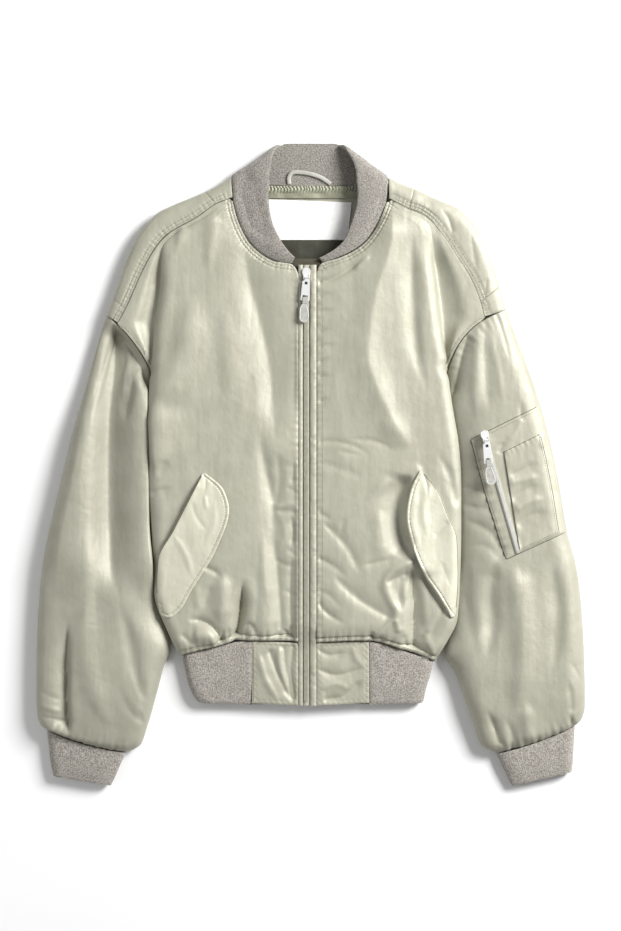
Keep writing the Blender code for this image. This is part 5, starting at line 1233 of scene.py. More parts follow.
def front_grid(side):
    """Coarse smooth front: each point's place, distance from its inner end and height over the hem."""
    hem = line(HEM_SEAM[side], "out", "y")
    rows = front_rows(side)
    bottom = SIDE[side][1][0]
    grid = np.empty((len(rows), len(UNDER) + len(OVER) + TOP_COLUMNS, 5))
    for index, row in enumerate(rows):
        (out, y), (in_out, in_y), kind = row
        shape, wing, tip = side_shape(side, row)
        span = math.hypot(out - in_out, y - in_y)
        room = min(1.0, (span - wing) / CENTRE_SLOPE)
        marks = list(shape) + [(wing + reach * room, None) for reach in OVER]
        first = wing + OVER[-1] * room
        marks += [(first + (span - first) * k / TOP_COLUMNS, None) for k in range(1, TOP_COLUMNS + 1)]
        for col, (inward, z) in enumerate(marks):
            share = inward / span
            at_out, at_y = out + (in_out - out) * share, y + (in_y - y) * share
            if kind == "side":
                at_y += (float(hem(at_out)) - bottom) * max(0.0, 1 - (y - bottom) / HEM_ROWS[-1])
            above = at_y - float(hem(at_out))
            if z is None:
                z = front_height(inward - wing, span - inward, tip, in_y)
            if kind == "side":
                z *= hem_share(above)
            if kind == "shoulder":
                z = SEAM_TOP + (z - SEAM_TOP) * min(1.0, span / SEAM_SLOPE)
            grid[index, col] = (side * at_out, at_y, z, span - inward, above)
    return grid


def hem_share(above):
    """Share of the front's height left where the cloth is drawn in to the hem rib."""
    seam = HEM_TOP / BODY_TOP
    return seam + (1 - seam) * math.sqrt(min(1.0, max(0.0, above) / HEM_ROUND))


def front_height(from_edge, from_inner, edge_z, inner_y):
    """Height of the smooth front, away from its rolled side."""
    inner_top = CENTRE_TOP if inner_y < NECK_Y else NECK_TOP
    top = BODY_TOP - (BODY_TOP - inner_top) * (1 - min(1.0, from_inner / CENTRE_SLOPE)) ** 2
    return top - (BODY_TOP - edge_z) * (1 - min(1.0, from_edge / EDGE_SLOPE)) ** 2.6


def make_front(side):
    """The front panel with its folds, creases and the puckers of its seams."""
    fine = refined(front_grid(side), CLOTH_STEP, 1, dense_end=14.0)
    fine = refined(fine, CLOTH_STEP, 0, dense_start=14.0, dense_end=110.0, dense=1.25)
    from_inner, above = fine[..., 3], fine[..., 4]
    grid = floored(fine[..., :3])
    facing = outward(grid, (len(grid) // 2, -4))
    x, y = grid[..., 0], grid[..., 1]
    detail = crease_relief(FRONT_CREASES[side], x, y) + ripples(x, y, "front", side)
    detail *= (0.25 + 0.75 * smooth(0, 6, above)) * smooth(0, 5, from_inner)
    outs = np.linspace(centre_x(side), SIDE[side][1][1], 30)
    hem = np.stack((side * outs, line(HEM_SEAM[side], "out", "y")(outs)), 1)
    detail += puckers(hem, x, y, "hem") * smooth(0, 3, above) + topstitched(hem, x, y, "hem")
    for middle, width, height in HEM_BEADS:
        detail += height * bell(above, middle, width)
    inner_edge = grid[::4, -1, :2]
    below = inner_edge[:, 1] < NECK_Y - 1
    detail += puckers(inner_edge[below], x, y, "zip", side)
    detail += topstitched(inner_edge[~below], x, y, "neck", side)
    detail += topstitched(grid[-1, ::4, :2], x, y, "shoulder", side)
    detail += topstitched(ring_route(side, 0, 0.1, 1, 40), x, y, "armhole", side)
    top = upward(facing)
    moved = facing * (detail * top)[..., None]
    turned = rolled(grid.shape[:2], CLOTH_STEP)[..., None] * facing
    outer = floored(grid + moved - turned * (top > 0.01)[..., None])
    inner = grid - SATIN * facing
    inner[..., 2] = np.where(grid[..., 2] < ON_FLOOR, np.maximum(inner[..., 2], SATIN), inner[..., 2])
    name = f"front_{NAME[side]}"
    return panel(f"{name}_cloth", [name], outer, inner + moved, "satin", grid)


# ----------------------------------------------------------- shoulder strips
def shoulder_section(place):
    """Outer points of the strip from its lip on the floor over the fold to its seam."""
    seam = np.array((place["seam_out"], place["seam_y"]))
    edge = np.array((place["edge_out"], place["edge_y"]))
    width = np.linalg.norm(seam - edge)
    inward = (seam - edge) / width
    marks = [(FOLD_RADIUS + 3, 0.0)]
    for angle in FOLD_ANGLES:
        turn = math.radians(angle)
        height = FOLD_MID if angle < 0 else SEAM_TOP - 0.8 - FOLD_MID
        marks.append((FOLD_RADIUS * (1 - math.cos(turn)), FOLD_MID + height * math.sin(turn)))
    marks.append((width - 0.35, SEAM_TOP))
    return [(*(edge + inward * distance), z) for distance, z in marks]


def make_shoulder(side, part, stations):
    coarse = np.array([[placed(side, *point) for point in shoulder_section(shoulder_station(side, at)[0])]
                       for at in stations])
    grid = floored(refined(refined(coarse, STRIP_STEP, 1), STRIP_STEP, 0))
    facing = outward(grid, (len(grid) // 2, -2))
    x, y = grid[..., 0], grid[..., 1]
    detail = 0.5 * ripples(x, y, "strip") + crease_relief(SHOULDER_CREASES[side], x, y)
    detail += topstitched(grid[::6, -1, :2], x, y, "strip")
    turned = rolled(grid.shape[:2], STRIP_STEP, ("start", "end", "right"), 1.8, 0.45)
    outer = floored(grid + facing * (detail * upward(facing) - turned)[..., None])
    inner = floored(grid - SATIN * facing, SATIN)
    name = f"shoulder_{part}_{NAME[side]}"
    return panel(f"{name}_cloth", [name], outer, inner, "satin", grid)


def make_shoulders(side):
    band, main, tip = shoulder_stations(side)
    band_end, tip_start, _ = shoulder_lengths(side)
    half = GAP / 2
    return [make_shoulder(side, "band", band + [band_end - half]),
            make_shoulder(side, "strip", [band_end + half] + main[1:-1] + [tip_start - half]),
            make_shoulder(side, "tip", [tip_start + half] + tip)]


# ------------------------------------------------------------------- back
def back_edge(side):
    """The back's side as (y, out) rows from the hem to the neck."""
    side_out = line(SIDE[side], "y", "out")
    rows = []
    for y in BACK_ROWS:
        reach = LIP * float(smooth(LIP_START, LIP_FULL, y))
        clear = BACK_CLEAR + HEM_CLEAR * float(smooth(*HEM_CLEAR_Y, y))
        rows.append((y, float(side_out(max(y, SIDE[side][1][0]))) - reach - clear))
    ring = ring_at(SLEEVE[side], 0)
    for share in BACK_SHARES:
        if share * ring_width(ring) > FOLD_RADIUS + 6:
            out, y = ring_plan(ring, share)
            rows.append((y + BACK_CLEAR, out - 2 * BACK_CLEAR))
    band, main, tip = shoulder_stations(side)
    for at in band + main + tip:
        place = shoulder_station(side, at)[0]
        out, y, _ = shoulder_section(place)[0]
        run, rise = place["seam_out"] - place["edge_out"], place["seam_y"] - place["edge_y"]
        far = BACK_CLEAR / math.hypot(run, rise)
        rows.append((y + rise * far, out + run * far))
    rows = [row for row in rows if row[0] < NECK_BACK_Y - 8]
    return rows + [(NECK_BACK_Y, SHOULDER[side][-1][2] - 6)]


def make_back():
    edges = {side: through(*zip(*back_edge(side))) for side in (RIGHT, LEFT)}
    levels = np.linspace(HEM_BACK_Y, NECK_BACK_Y, BACK_LEVELS)
    grid = np.zeros((BACK_LEVELS, BACK_COLUMNS, 3))
    for row, y in enumerate(levels):
        grid[row, :, 0] = np.linspace(-float(edges[RIGHT](y)), float(edges[LEFT](y)), BACK_COLUMNS)
        grid[row, :, 1] = y
    top = grid + np.array((0, 0, SATIN))
    top[..., 2] += uneven(grid[..., 0], grid[..., 1], "back") - 0.25
    low = grid.copy()
    low[..., 2] += 0.12 + uneven(grid[..., 0], grid[..., 1], "underside")
    panel("back_cloth", ["back"], top, low, "satin", grid)


# ------------------------------------------------------------------- hem rib
def hem_half(side, down):
    """One side of the hem rib at a distance below its seam: tab, rounded side, under the back."""
    seam = line(HEM_SEAM[side], "out", "y")
    top = RIB_TOP - RIB_THINS * float(smooth(RIB_THINS_FROM, HEM_DOWNS[-1], down))
    mid = top / 2
    flat = float(line(HEM_SIDE[side], "down", "out")(down)) - RIB_ROUND
    marks = [(TAB_EDGE[side] + (flat - TAB_EDGE[side]) * k / 4, top) for k in range(5)]
    for turn in np.radians((55, 20, -20, -55, -90)):
        marks.append((flat + RIB_ROUND * math.cos(turn), mid + mid * math.sin(turn)))
    marks += [(flat - flat * k / 4, 0.0) for k in (1, 2, 3)]
    half = []
    for out, z in marks:
        on_top = float(smooth(0, mid * 1.6, z))
        start = (float(seam(out)) - SEAM_TUCK) * on_top + RIB_BACK_Y * (1 - on_top)
        bottom = HEM_Y + 0.5 + 0.03 * abs(out - 70)
        half.append(placed(side, out, start + (bottom - start) * down / HEM_DOWNS[-1], z))
    return half


def make_hem_rib():
    """One band of rib round the back, from tab to tab across the rolled sides."""
    coarse = []
    for down in HEM_DOWNS:
        middle_y = RIB_BACK_Y + (HEM_Y + 2.5 - RIB_BACK_Y) * down / HEM_DOWNS[-1]
        coarse.append(hem_half(RIGHT, down) + [np.array((0.0, middle_y, 0.0))] + hem_half(LEFT, down)[::-1])
    grid = floored(refined(refined(np.array(coarse), RIB_STEP, 1), RIB_STEP, 0))
    facing = outward(grid, (5, 5))
    x, y = grid[..., 0], grid[..., 1]
    detail = uneven(x, y, "hem rib") * upward(facing)
    turned = rolled(grid.shape[:2], RIB_STEP, reach=3.4, drop=1.2)
    outer = floored(grid + facing * (detail - turned)[..., None])
    panel("hem_knit", ["hem_rib"], outer, lined(grid, facing, RIB), "rib", grid)


# ------------------------------------------------------- centre front and tabs
def centre_height(y):
    """Height of the strips beside the zip: low over the hem, full above it."""
    return HEM_TOP + (CENTRE_TOP - HEM_TOP) * smooth(*HEM_CLIMB, y)


def make_strip(name, node, start, end, drop, thickness, crown, finish, ripple, bottom=HEM_Y, top_y=249.0):
    """A long flat strip along the zip between two x, dropped below the fronts' height."""
    levels = np.linspace(bottom, top_y, int((top_y - bottom) / STRIP_STEP))
    shares = np.linspace(0, 1, max(6, int((end - start) / 1.0)))
    y, share = np.meshgrid(levels, shares, indexing="ij")
    x = start + (end - start) * share
    base = np.stack((x, y, centre_height(y) - drop + crown * np.sin(math.pi * share)), -1)
    wave = ripple * uneven(x, y, "strip")
    outer = base.copy()
    outer[..., 2] += wave * np.sin(math.pi * share) ** 0.5
    outer[..., 2] -= rolled(x.shape, 1.0, ("left", "right"), 1.8)
    inner = base - np.array((0, 0, thickness))
    inner[..., 2] = np.minimum(inner[..., 2], outer[..., 2] - 0.4)
    panel(name, [node], outer, inner, finish, base)


def make_centre():
    """Zip tape, the stitched strip on each side of it and the guard behind its top."""
    tape_right, tape_left = ZIP_X - TAPE_HALF, ZIP_X + TAPE_HALF
    make_strip("zip_tape_weave", "zip_tape", tape_right, tape_left, TAPE_DROP, TAPE, 1.3, "tape", 0.1)
    make_strip("placket_right_cloth", "placket_right", tape_right - GAP - PLACKET_RIGHT,
               tape_right - GAP, 0, PLACKET, 0.5, "satin", 0.45)
    make_strip("placket_left_cloth", "placket_left", tape_left + GAP,
               tape_left + GAP + PLACKET_LEFT, 0, PLACKET, 0.6, "satin", 0.45)
    make_strip("zip_guard_cloth", "zip_guard", *GUARD_X, TAPE_DROP + TAPE + GAP, 1.6, 0.0, "guard",
               0.2, *GUARD_Y)


def make_tab(side):
    """Satin end of the hem beside the zip."""
    inner_edge, outer_edge = centre_x(side), TAB_EDGE[side] - GAP
    share, outs = np.meshgrid(np.linspace(0, 1, 56), np.linspace(outer_edge, inner_edge, 46), indexing="ij")
    start = line(HEM_SEAM[side], "out", "y")(outs) - SEAM_TUCK
    end = HEM_Y + 0.05 * (outs - inner_edge)
    x, y = side * outs, start + (end - start) * share
    base = np.stack((x, y, np.full_like(x, RIB_TOP + 0.2)), -1)
    puff = 0.7 * np.sin(math.pi * share)
    detail = crease_relief(TAB_CREASES, x, y) + uneven(x, y, "tab") + puff
    seams = np.minimum(np.minimum(outs - inner_edge, outer_edge - outs), np.minimum(y - end, start - y))
    outer = base.copy()
    outer[..., 2] += detail * smooth(0, 5, seams) - 0.8 * (1 - smooth(0, 2.2, seams))
    outer[..., 2] -= 0.35 * bell(seams, 4.5, 1)
    outer[..., 2] += 0.25 * np.sin(x * 0.9 + y * 0.8) * bell(seams, 3, 3)
    name = f"hem_tab_{NAME[side]}"
    return panel(f"{name}_cloth", [name], outer, base - np.array((0, 0, RIB)), "satin", base)


# ------------------------------------------------------------------- collar
def collar_stations(side):
    """Neck seam point and free edge point of each station, zip end first."""
    neck, neck_length = path(NECK[side])
    edge, edge_length = path(COLLAR_EDGE[side])
    places = []
    start = 0.06 * neck_length
    for share in np.linspace(0, 1, 9):
        at = start + (neck_length - start) * share
        following, before = neck(min(at + 1, neck_length)), neck(max(at - 1, 0))
        along = (following - before) / np.linalg.norm(following - before)
        seam = neck(at) + np.array((-along[1], along[0])) * 0.5
        free = edge(edge_length * (0.1 + 0.9 * share ** 1.1))
        places.append((*seam, NECK_TOP + 0.4, *free, NECK_TOP + 3.4))
    return places + list(COLLAR_FOLD[side][1:])


def make_collar():
    stations = [(RIGHT, place) for place in collar_stations(RIGHT)]
    stations += [(LEFT, place) for place in collar_stations(LEFT)[::-1]]
    coarse = np.empty((len(stations), 5, 3))
    for row, (side, place) in enumerate(stations):
        seam, free = placed(side, *place[:3]), placed(side, *place[3:])
        crown = min(2.0, 0.08 * np.linalg.norm(free - seam))
        for col, share in enumerate(np.linspace(0, 1, 5)):
            point = seam + (free - seam) * share
            point[2] += crown * math.sin(math.pi * share) * float(smooth(6, 18, point[2]))
            coarse[row, col] = point
    grid = floored(refined(refined(coarse, COLLAR_STEP, 1), COLLAR_STEP, 0))
    facing = outward(grid, (5, 5))
    x, y = grid[..., 0], grid[..., 1]
    detail = uneven(x, y, "collar") + crease_relief(COLLAR_CREASES, x, y)
    detail *= smooth(4, 12, grid[..., 2])
    turned = rolled(grid.shape[:2], COLLAR_STEP, reach=3.2, drop=1.2)
    outer = floored(grid + facing * (detail - turned)[..., None])
    panel("collar_knit", ["collar"], outer, lined(grid, facing, RIB), "collar", grid)


# ------------------------------------------------------------- inside the neck
def make_slab(name, node, corners, thickness, finish, relief, spacing=1.4):
    """A thin piece between four plan corners: lower left, lower right, upper right, upper left."""
    a, b, c, d = (np.array(corner, float) for corner in corners)
    cols = int(np.linalg.norm(b - a) / spacing)
    rows = max(8, int(np.linalg.norm(d - a) / spacing))
    v, u = np.meshgrid(np.linspace(0, 1, rows), np.linspace(0, 1, cols), indexing="ij")
    u3, v3 = u[..., None], v[..., None]
    plan = (a * (1 - u3) + b * u3) * (1 - v3) + (d * (1 - u3) + c * u3) * v3
    base = np.concatenate((plan, np.full((rows, cols, 1), INSIDE_LOW + thickness)), 2)
    outer, bottom = base.copy(), base.copy()
    outer[..., 2] += relief(u, v, plan[..., 0], plan[..., 1])
    bottom[..., 2] = INSIDE_LOW
    panel(name, [node], outer, bottom, finish, base)


def make_inside():
    """Lining of the back, blank label and ruched facing, where the neck shows them; the lining's and the
    facing's dark colours are painted shade.
    """
    def lining_relief(u, v, x, y):
        return uneven(x, y, "lining") + 0.5

    def label_relief(u, v, x, y):
        rim = np.minimum(np.minimum(u, 1 - u) * LABEL_SIZE[0], np.minimum(v, 1 - v) * LABEL_SIZE[1])
        return 0.25 - 0.35 * bell(rim, 2.2, 0.8) + uneven(x, y, "label")

    def facing_relief(u, v, x, y):
        slant = 0.35 * np.abs(v - 0.72)
        ruche = np.sin(GATHER_COUNT * 2 * math.pi * (u + slant / 6 + uneven(x, y, "ruches")))
        top = smooth(0.42, 0.55, v)
        return 0.8 * ruche * top + 0.8 * top + uneven(x, y, "facing") * (1 - top) + 0.6

    # The lining's near-black colour is painted shade.
    make_slab("lining_cloth", "back_lining", LINING_CORNERS, 1.0, "lining", lining_relief, 2.4)
    make_slab("label_cloth", "label", LABEL_CORNERS, 0.9, "label", label_relief)
    # The facing's darker colour is painted shade.
    make_slab("neck_facing_cloth", "neck_facing", FACING_CORNERS, 1.8, "facing", facing_relief, 1.1)


def tube_faces(start, rings, count):
    """Faces of a capped tube whose points are rings of this count, the first one at start."""
    end = start + (rings - 1) * count
    faces = [tuple(range(start, start + count)), tuple(range(end + count - 1, end - 1, -1))]
    for low in range(start, end, count):
        for k in range(count):
            n = (k + 1) % count
            faces.append((low + n, low + k, low + count + k, low + count + n))
    return faces


def tube_along(route, wide, high, sides):
    """Points and faces of a flattened tube along a 3-D route."""
    ahead = unit(np.gradient(route, axis=0))
    across = unit(np.cross(ahead, (0, 0, 1)))
    up = np.cross(across, ahead)
    turns = np.linspace(0, 2 * math.pi, sides, endpoint=False)
    ring = np.stack((wide * np.cos(turns), high * np.sin(turns)), 1)
    points = (route[:, None] + across[:, None] * ring[None, :, :1] + up[:, None] * ring[None, :, 1:])
    return points.reshape(-1, 3), tube_faces(0, len(route), sides)


def make_loop():
    """Hanger loop: a flat satin cord that lies on the inside of the collar."""
    route = curved(LOOP_ROUTE, 1.5)
    piece = made("hanger_loop_cord", *tube_along(route, LOOP_WIDTH / 2, LOOP_HALF_THICK, 12), "cord")
    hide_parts("hanger_loop")


# --------------------------------------------------------- pockets and flaps
def laid_on(name, plan, trees, relief, carrier, node, thickness=PATCH, rim=0.7, lift=0.0, finish="satin"):
    """A patch over a plan grid of places that follows the cloth below it."""
    under = heights_under(trees, plan)
    for _ in range(SOFTENINGS):
        around = under[:-2, 1:-1] + under[2:, 1:-1] + under[1:-1, :-2] + under[1:-1, 2:]
        under[1:-1, 1:-1] = np.maximum(under[1:-1, 1:-1], around / 4)
    low = np.concatenate((plan, (under + GAP + lift)[..., None]), 2)
    base = low + np.array((0, 0, thickness))
    outer = base.copy()
    outer[..., 2] += relief - rolled(plan.shape[:2], PATCH_STEP, reach=2.4, drop=rim)
    return panel(name, [node], outer, low, finish, base)


def make_flap(side, tree):
    seam, seam_length = path(FLAP[side]["seam"])
    free, free_length = path(FLAP[side]["free"])
    rows, cols = FLAP_GRID
    shares = np.linspace(0, 1, cols)[:, None]
    plan = np.empty((rows, cols, 2))
    for row in range(rows):
        share = 0.012 + 0.976 * row / (rows - 1)
        start, end = seam(share * seam_length), free(share * free_length)
        plan[row] = (start + (end - start) * shares) * (side, 1)
    x, y = plan[..., 0], plan[..., 1]
    relief = crease_relief(FLAP_CREASES[side], x, y) + 0.7 * ripples(x, y, "flap")
    free_route = plan[::4, -1]
    inward = np.abs(beside(free_route, x, y)[0])
    relief += 0.55 * bell(inward, 1.4, 1.3) - 0.6 * bell(inward, 3.9, 0.9)
    relief += puckers(free_route, x, y, "flap", side)
    along, across = np.meshgrid(np.linspace(0, 1, rows), np.linspace(0, 1, cols), indexing="ij")
    lift = FLAP_LIFT[side] * np.sin(math.pi * along) ** 0.8 * across ** 2
    relief += FLAP_ROLL[side] * np.sin(math.pi * along) ** 0.6 * (1 - across)
    # The flap's satin is a lighter copy of the body's: painted light.
    return laid_on(f"flap_{NAME[side]}_cloth", plan, [tree], relief, f"front_{NAME[side]}_cloth",
                   f"flap_{NAME[side]}", lift=lift, finish="flap")


def pocket_point(index, out):
    """A sleeve ring's plan point at a given distance out."""
    ring = ring_at(SLEEVE[LEFT], index)
    share = (ring["outer_out"] - out) / (ring["outer_out"] - ring["inner_out"])
    return ring_plan(ring, share)


def pocket_plan(kind, rows, cols):
    """Plan grid of a sleeve pocket, from its top and from its edge at the body."""
    edge_table, first, last, outer_margin = POCKETS[kind]
    edge = line(edge_table, "along", "out")
    plan = np.empty((rows, cols, 2))
    for row in range(rows):
        along = first + (last - first) * row / (rows - 1)
        index = POCKET_TOP_RING + (POCKET_BOTTOM_RING - POCKET_TOP_RING) * along
        start = float(edge(along))
        end = ring_at(SLEEVE[LEFT], index)["outer_out"] - outer_margin
        for col in range(cols):
            plan[row, col] = pocket_point(index, start + (end - start) * col / (cols - 1))
    return plan


def make_sleeve_pockets(sleeve):
    """The left sleeve's pocket, its zip and the pen pocket over them, each on the last."""
    trees = [tree_of(sleeve, around=True)]

    def lay(name, plan, relief, carrier, node, **looks):
        outer = laid_on(name, plan, trees, relief, carrier, node, **looks)
        trees.append(tree_of(outer))
        return outer

    plan = pocket_plan("pocket", 104, 62)
    x, y = plan[..., 0], plan[..., 1]
    relief = crease_relief(POCKET_CREASES, x, y) + 0.6 * ripples(x, y, "pocket")
    from_edge = beside(plan[::4, 0], x, y)[0]
    relief += puckers(plan[::4, 0], x, y, "pocket") * bell(from_edge, 0, 14)
    lay("sleeve_pocket_cloth", plan, relief, "sleeve_left_cloth", "sleeve_pocket")
    start, end = np.array(SLEEVE_ZIP)
    along = end - start
    across = np.array((-along[1], along[0])) / np.linalg.norm(along)
    plan = np.array([[start + along * share + across * SLEEVE_TAPE_HALF * side
                      for side in np.linspace(1, -1, 7)] for share in np.linspace(0, 1, 100)])
    tape = lay("sleeve_zip_weave", plan, 0.0, "sleeve_pocket_cloth", "sleeve_zip_tape",
               thickness=1.2, rim=0.4, finish="tape")
    plan = pocket_plan("pen", 86, 50)
    x, y = plan[..., 0], plan[..., 1]
    relief = 0.3 * crease_relief(POCKET_CREASES, x, y) + 0.6 * ripples(x, y, "pen")
    relief += puckers(plan[0, ::4], x, y, "pen")
    lay("pen_pocket_cloth", plan, relief, "sleeve_pocket_cloth", "pen_pocket")
    return trees, tape


# ------------------------------------------------------------------- zips
def make_teeth(name, route, pitch, half_width, finish="metal"):
    """Interlocked zip teeth along a 3-D route, from both sides in turn."""
    ahead = unit(np.gradient(route, axis=0))
    across = unit(np.cross(ahead, (0, 0, 1)))
    points, faces = [], []
    for index, (place, forward, side) in enumerate(zip(route, ahead, across)):
        sign = 1 if index % 2 else -1
        faces += [face[::-1] for face in tube_faces(len(points), 2, len(TOOTH))]
        for height in TOOTH_HEIGHTS:
            for reach, wide in TOOTH:
                points.append(place - side * sign * half_width * reach + forward * wide * pitch
                              + np.array((0, 0, height)))
    made(name, points, faces, finish)


def make_stitches(name, routes, trees, finish="thread", length=2.3, pitch=3.3, radius=0.34, lift=0.05):
    """Rows of thread stitches along plan routes, each on the cloth below it."""
    points, faces = [], []
    turns = 2 * math.pi * np.arange(STITCH_SIDES) / STITCH_SIDES
    for route in routes:
        fine = curved(route, pitch)
        heights = np.array([height_under(trees, x, y) for x, y in fine])
        spine = np.concatenate((fine, heights[:, None]), 1)
        for place, following in zip(spine[:-1], spine[1:]):
            forward = following - place
            if abs(forward[2]) > STITCH_CLIMB or place[2] < STITCH_LOW:
                continue
            forward = forward / np.linalg.norm(forward)
            side = unit(np.cross(forward, (0, 0, 1)))
            up = np.cross(side, forward)
            faces += tube_faces(len(points), len(STITCH), STITCH_SIDES)
            for at, size in STITCH:
                middle = place + forward * at * length + up * (lift if 0 < at < 1 else -lift)
                points += [middle + radius * size * (side * math.cos(turn) + up * math.sin(turn))
                           for turn in turns]
    made(name, points, faces, finish)


def make_seam(name, routes, trees):
    """Painted shade: a dark line of short capsules that stands for the shadow in the gap two seamed pieces
    leave between them.
    """
    make_stitches(name, routes, trees, "seam", 3.3, 3.2, 0.42, 0.0)


def offset(route, distance):
    """A plan route moved sideways, to its left when the distance is positive."""
    ahead = unit(np.gradient(route, axis=0))
    return route + distance * np.stack((-ahead[:, 1], ahead[:, 0]), 1)


def sewn_route(side, table, start, end, names=("out", "y")):
    """Plan points between two shares of the length of a panel table's curve."""
    data = columns(table)
    rows = zip(*(data[name] for name in names))
    curve, length = path((("out", "y"), *rows))
    return np.array([curve(length * share) * (side, 1) for share in np.linspace(start, end, SEWN_POINTS)])


def sew_front(side, trees):
    """Stitches of one half of the body, and the painted shade of its seam lines."""
    low = ring_route(side, 0, 0.3, 0.97, SEWN_POINTS)
    high = ring_route(side, 0, 0.02, 0.3, SEWN_POINTS)
    neck = sewn_route(side, NECK[side], 0.0, 0.96)
    strip = sewn_route(side, SHOULDER[side], 0.0, 0.97, ("seam_out", "seam_y"))
    hem = sewn_route(side, HEM_SEAM[side], 0.12, 0.97)
    seams = [offset(strip, side * 0.9), offset(low, -side * 0.9), offset(hem, side * 0.7)]
    sewn = ((neck, "neck", -side), (strip, "strip", -side), (low, "armhole", -side), (hem, "hem", side),
            (high, "shoulder", -side))
    stitches = [offset(route, way * row) for route, kind, way in sewn for row in TOPSTITCHES[kind][0]]
    for x, ends, count in ((ZIP_STITCHES[side], (-218, 244), SEWN_POINTS),
                           (side * (TAB_EDGE[side] - 2.6), (-228, -300), 20)):
        stitches.append(np.stack((np.full(count, x), np.linspace(*ends, count)), 1))
    make_seam(f"{NAME[side]}_body_seam_shadows", seams, trees)
    make_stitches(f"{NAME[side]}_body_stitches", stitches, trees)


def sew_pockets(flaps, trees):
    """Stitches of the flaps and of the sleeve's pockets, and the painted shade of their seam lines."""
    pocket, pen = pocket_plan("pocket", 40, 24), pocket_plan("pen", 40, 20)
    seams = [offset(plan[3:-3:4, 0], -side * 0.6) for side, plan in flaps.items()]
    seams += [offset(pocket[:, 0], -0.5), offset(pocket[0], 0.5), offset(pocket[-1], -0.5),
              offset(pen[0], -0.8), offset(pen[:, 0], 0.6), offset(pen[:, -1], -1.0)]
    stitches = [offset(plan[6:-6:4, -1], side * 4.4) for side, plan in flaps.items()]
    stitches += [offset(pocket[:, 0], 3.0), offset(pocket[0, 3:], -3.2), offset(pen[:, -1], -3.2),
                 offset(pen[-1], 2.6)]
    make_seam("pocket_seam_shadows", seams, trees)
    make_stitches("pocket_stitches", stitches, trees)


# ------------------------------------------------------------------- hardware
def finish_hardware(prefix):
    """A zip's CAD slider, pull and tag in their finish, with their edges eased."""
    for part, finish, width in (("slider", "metal", 0.45), ("pull", "metal", 0.3), ("tag", "tag", 0.5)):
        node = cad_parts[f"{prefix}_{part}"]
        node.data.materials.clear()
        node.data.materials.append(FINISHES[finish][1])
        bevel = node.modifiers.new("eased", "BEVEL")
        bevel.width = width * MM
        bevel.segments = 2
        bevel.limit_method = "ANGLE"
        bevel.angle_limit = math.radians(EASED_ANGLE)
        bevel.harden_normals = False


def detail_pull(prefix, body, pin, turn, tilt):
    """The raised rim of the tag, and a flat dark disc of painted shade that stands for the hole of the pull,
    which swing with them.
    """
    place = (Matrix.Translation(pin) @ Matrix.Rotation(math.radians(turn), 4, "Z")
             @ Matrix.Rotation(math.radians(tilt), 4, "X"))
    radius = TAG_ROUND - RIM_IN
    end = [(radius * math.cos(angle), TAG_END + TAG_ROUND + radius * math.sin(angle))
           for angle in np.radians(np.linspace(0, -180, 13))]
    rim = curved([(RIM_START, TAG_START), *end, (-RIM_START, TAG_START), (RIM_START, TAG_START)], 1.2)
    hole_painted_shade = np.array([(0, HOLE_PLACE + away) for away in (-HOLE_RADIUS, -HOLE_HALF, HOLE_HALF, HOLE_RADIUS)])
    for name, flat, wide, high, top in (("rim", rim, 0.55, 0.35, TAG_TOP),
                                        ("hole_painted_shade", hole_painted_shade, HOLE_RADIUS, 0.08, PULL_TOP)):
        points, faces = tube_along(np.column_stack((flat, np.full(len(flat), top))), wide, high, 10)
        made(f"{prefix}_{name}", [tuple(place @ Vector(point)) for point in points], faces, name, body=body)


# ------------------------------------------------------------------- studio
def make_camera():
    """The camera straight above, as far away as makes a pixel PIXEL wide on the cloth."""
    data = bpy.data.cameras.new("view")
    data.lens, data.sensor_width = LENS, SENSOR
    data.clip_start, data.clip_end = 0.05, 20.0
    camera = bpy.data.objects.new("view", data)
    bpy.context.collection.objects.link(camera)
    distance = VIEW_HEIGHT * PIXEL * LENS / SENSOR
    x = (VIEW_WIDTH / 2 - MIDDLE_PX) * PIXEL
    y = (MIDDLE_PY - VIEW_HEIGHT / 2) * PIXEL
    camera.location = Vector((x, y, CLOTH_TOP + distance)) * MM
    bpy.context.scene.camera = camera


def make_floor():
    """Plain pale floor."""
    mesh = bpy.data.meshes.new("floor")
    corners = ((-1, -1), (1, -1), (1, 1), (-1, 1))
    mesh.from_pydata([(FLOOR_HALF * x, FLOOR_HALF * y, FLOOR_Z) for x, y in corners], [], [(0, 1, 2, 3)])
    shader = Shader("floor", 0.9, Specular_IOR_Level=0.1)
    shader.colour(3.0, 2.0, FLOOR_COLOURS)
    mesh.materials.append(shader.material)
    floor = bpy.data.objects.new("floor", mesh)
    bpy.context.collection.objects.link(floor)


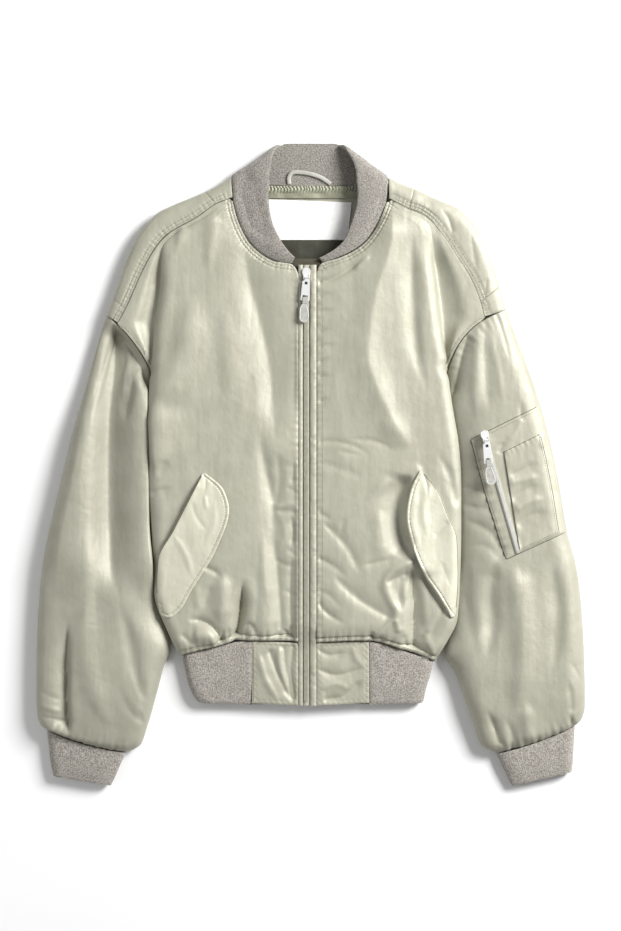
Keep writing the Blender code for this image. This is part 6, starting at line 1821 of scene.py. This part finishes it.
def make_light(name, place, size, power):
    """A soft square-cornered light that shines at the jacket's middle."""
    data = bpy.data.lights.new(name, "AREA")
    data.shape = "RECTANGLE"
    data.size, data.size_y = size
    data.energy = power
    light = bpy.data.objects.new(name, data)
    bpy.context.collection.objects.link(light)
    light.location = place
    light.rotation_euler = (-Vector(place)).to_track_quat("-Z", "Y").to_euler()


def make_studio():
    """Soft key from the upper right, a weak fill and a pale surround."""
    make_camera()
    make_floor()
    make_light("key", (1.95, 1.2, 1.62), (1.2, 1.2), 149)
    make_light("fill", (-1.8, -0.4, 1.2), (1.6, 2.0), 12)
    world = bpy.data.worlds.new("surround")
    world.use_nodes = True
    background = world.node_tree.nodes["Background"].inputs
    background["Color"].default_value = (1, 1, 1, 1)
    background["Strength"].default_value = 0.27
    bpy.context.scene.world = world
    bpy.context.scene.view_settings.view_transform = "Standard"


# ------------------------------------------------------------------- jacket
def main():
    make_studio()
    sleeves, flaps, trees = {}, {}, []
    for side in (RIGHT, LEFT):
        front_tree = tree_of(make_front(side))
        sleeves[side] = make_sleeve(side)
        make_cuff(side)
        flaps[side] = make_flap(side, front_tree)
        trees += [front_tree, tree_of(sleeves[side], around=True)]
        trees += [tree_of(outer) for outer in (flaps[side], make_tab(side), *make_shoulders(side))]
    make_back()
    make_hem_rib()
    make_centre()
    make_collar()
    make_inside()
    make_loop()
    pocket_trees, tape = make_sleeve_pockets(sleeves[LEFT])
    trees += pocket_trees
    for side in (RIGHT, LEFT):
        sew_front(side, trees)
    sew_pockets({side: flap[..., :2] for side, flap in flaps.items()}, trees)
    for prefix, body, pin, turn, tilt in PULLS:
        finish_hardware(prefix)
        detail_pull(prefix, body, pin, turn, tilt)
    levels = np.arange(*ZIP_TEETH_Y, ZIP_PITCH)
    route = np.stack((np.full_like(levels, ZIP_X - 0.5), levels, centre_height(levels) - 0.9), 1)
    make_teeth("zip_teeth", route, ZIP_PITCH, 4.6, "tape")
    middle = tape[:, tape.shape[1] // 2]
    route = refined(middle[:, None], SLEEVE_ZIP_PITCH, 0)[:, 0]
    make_teeth("sleeve_zip_teeth", route, SLEEVE_ZIP_PITCH, 3.4)


main()
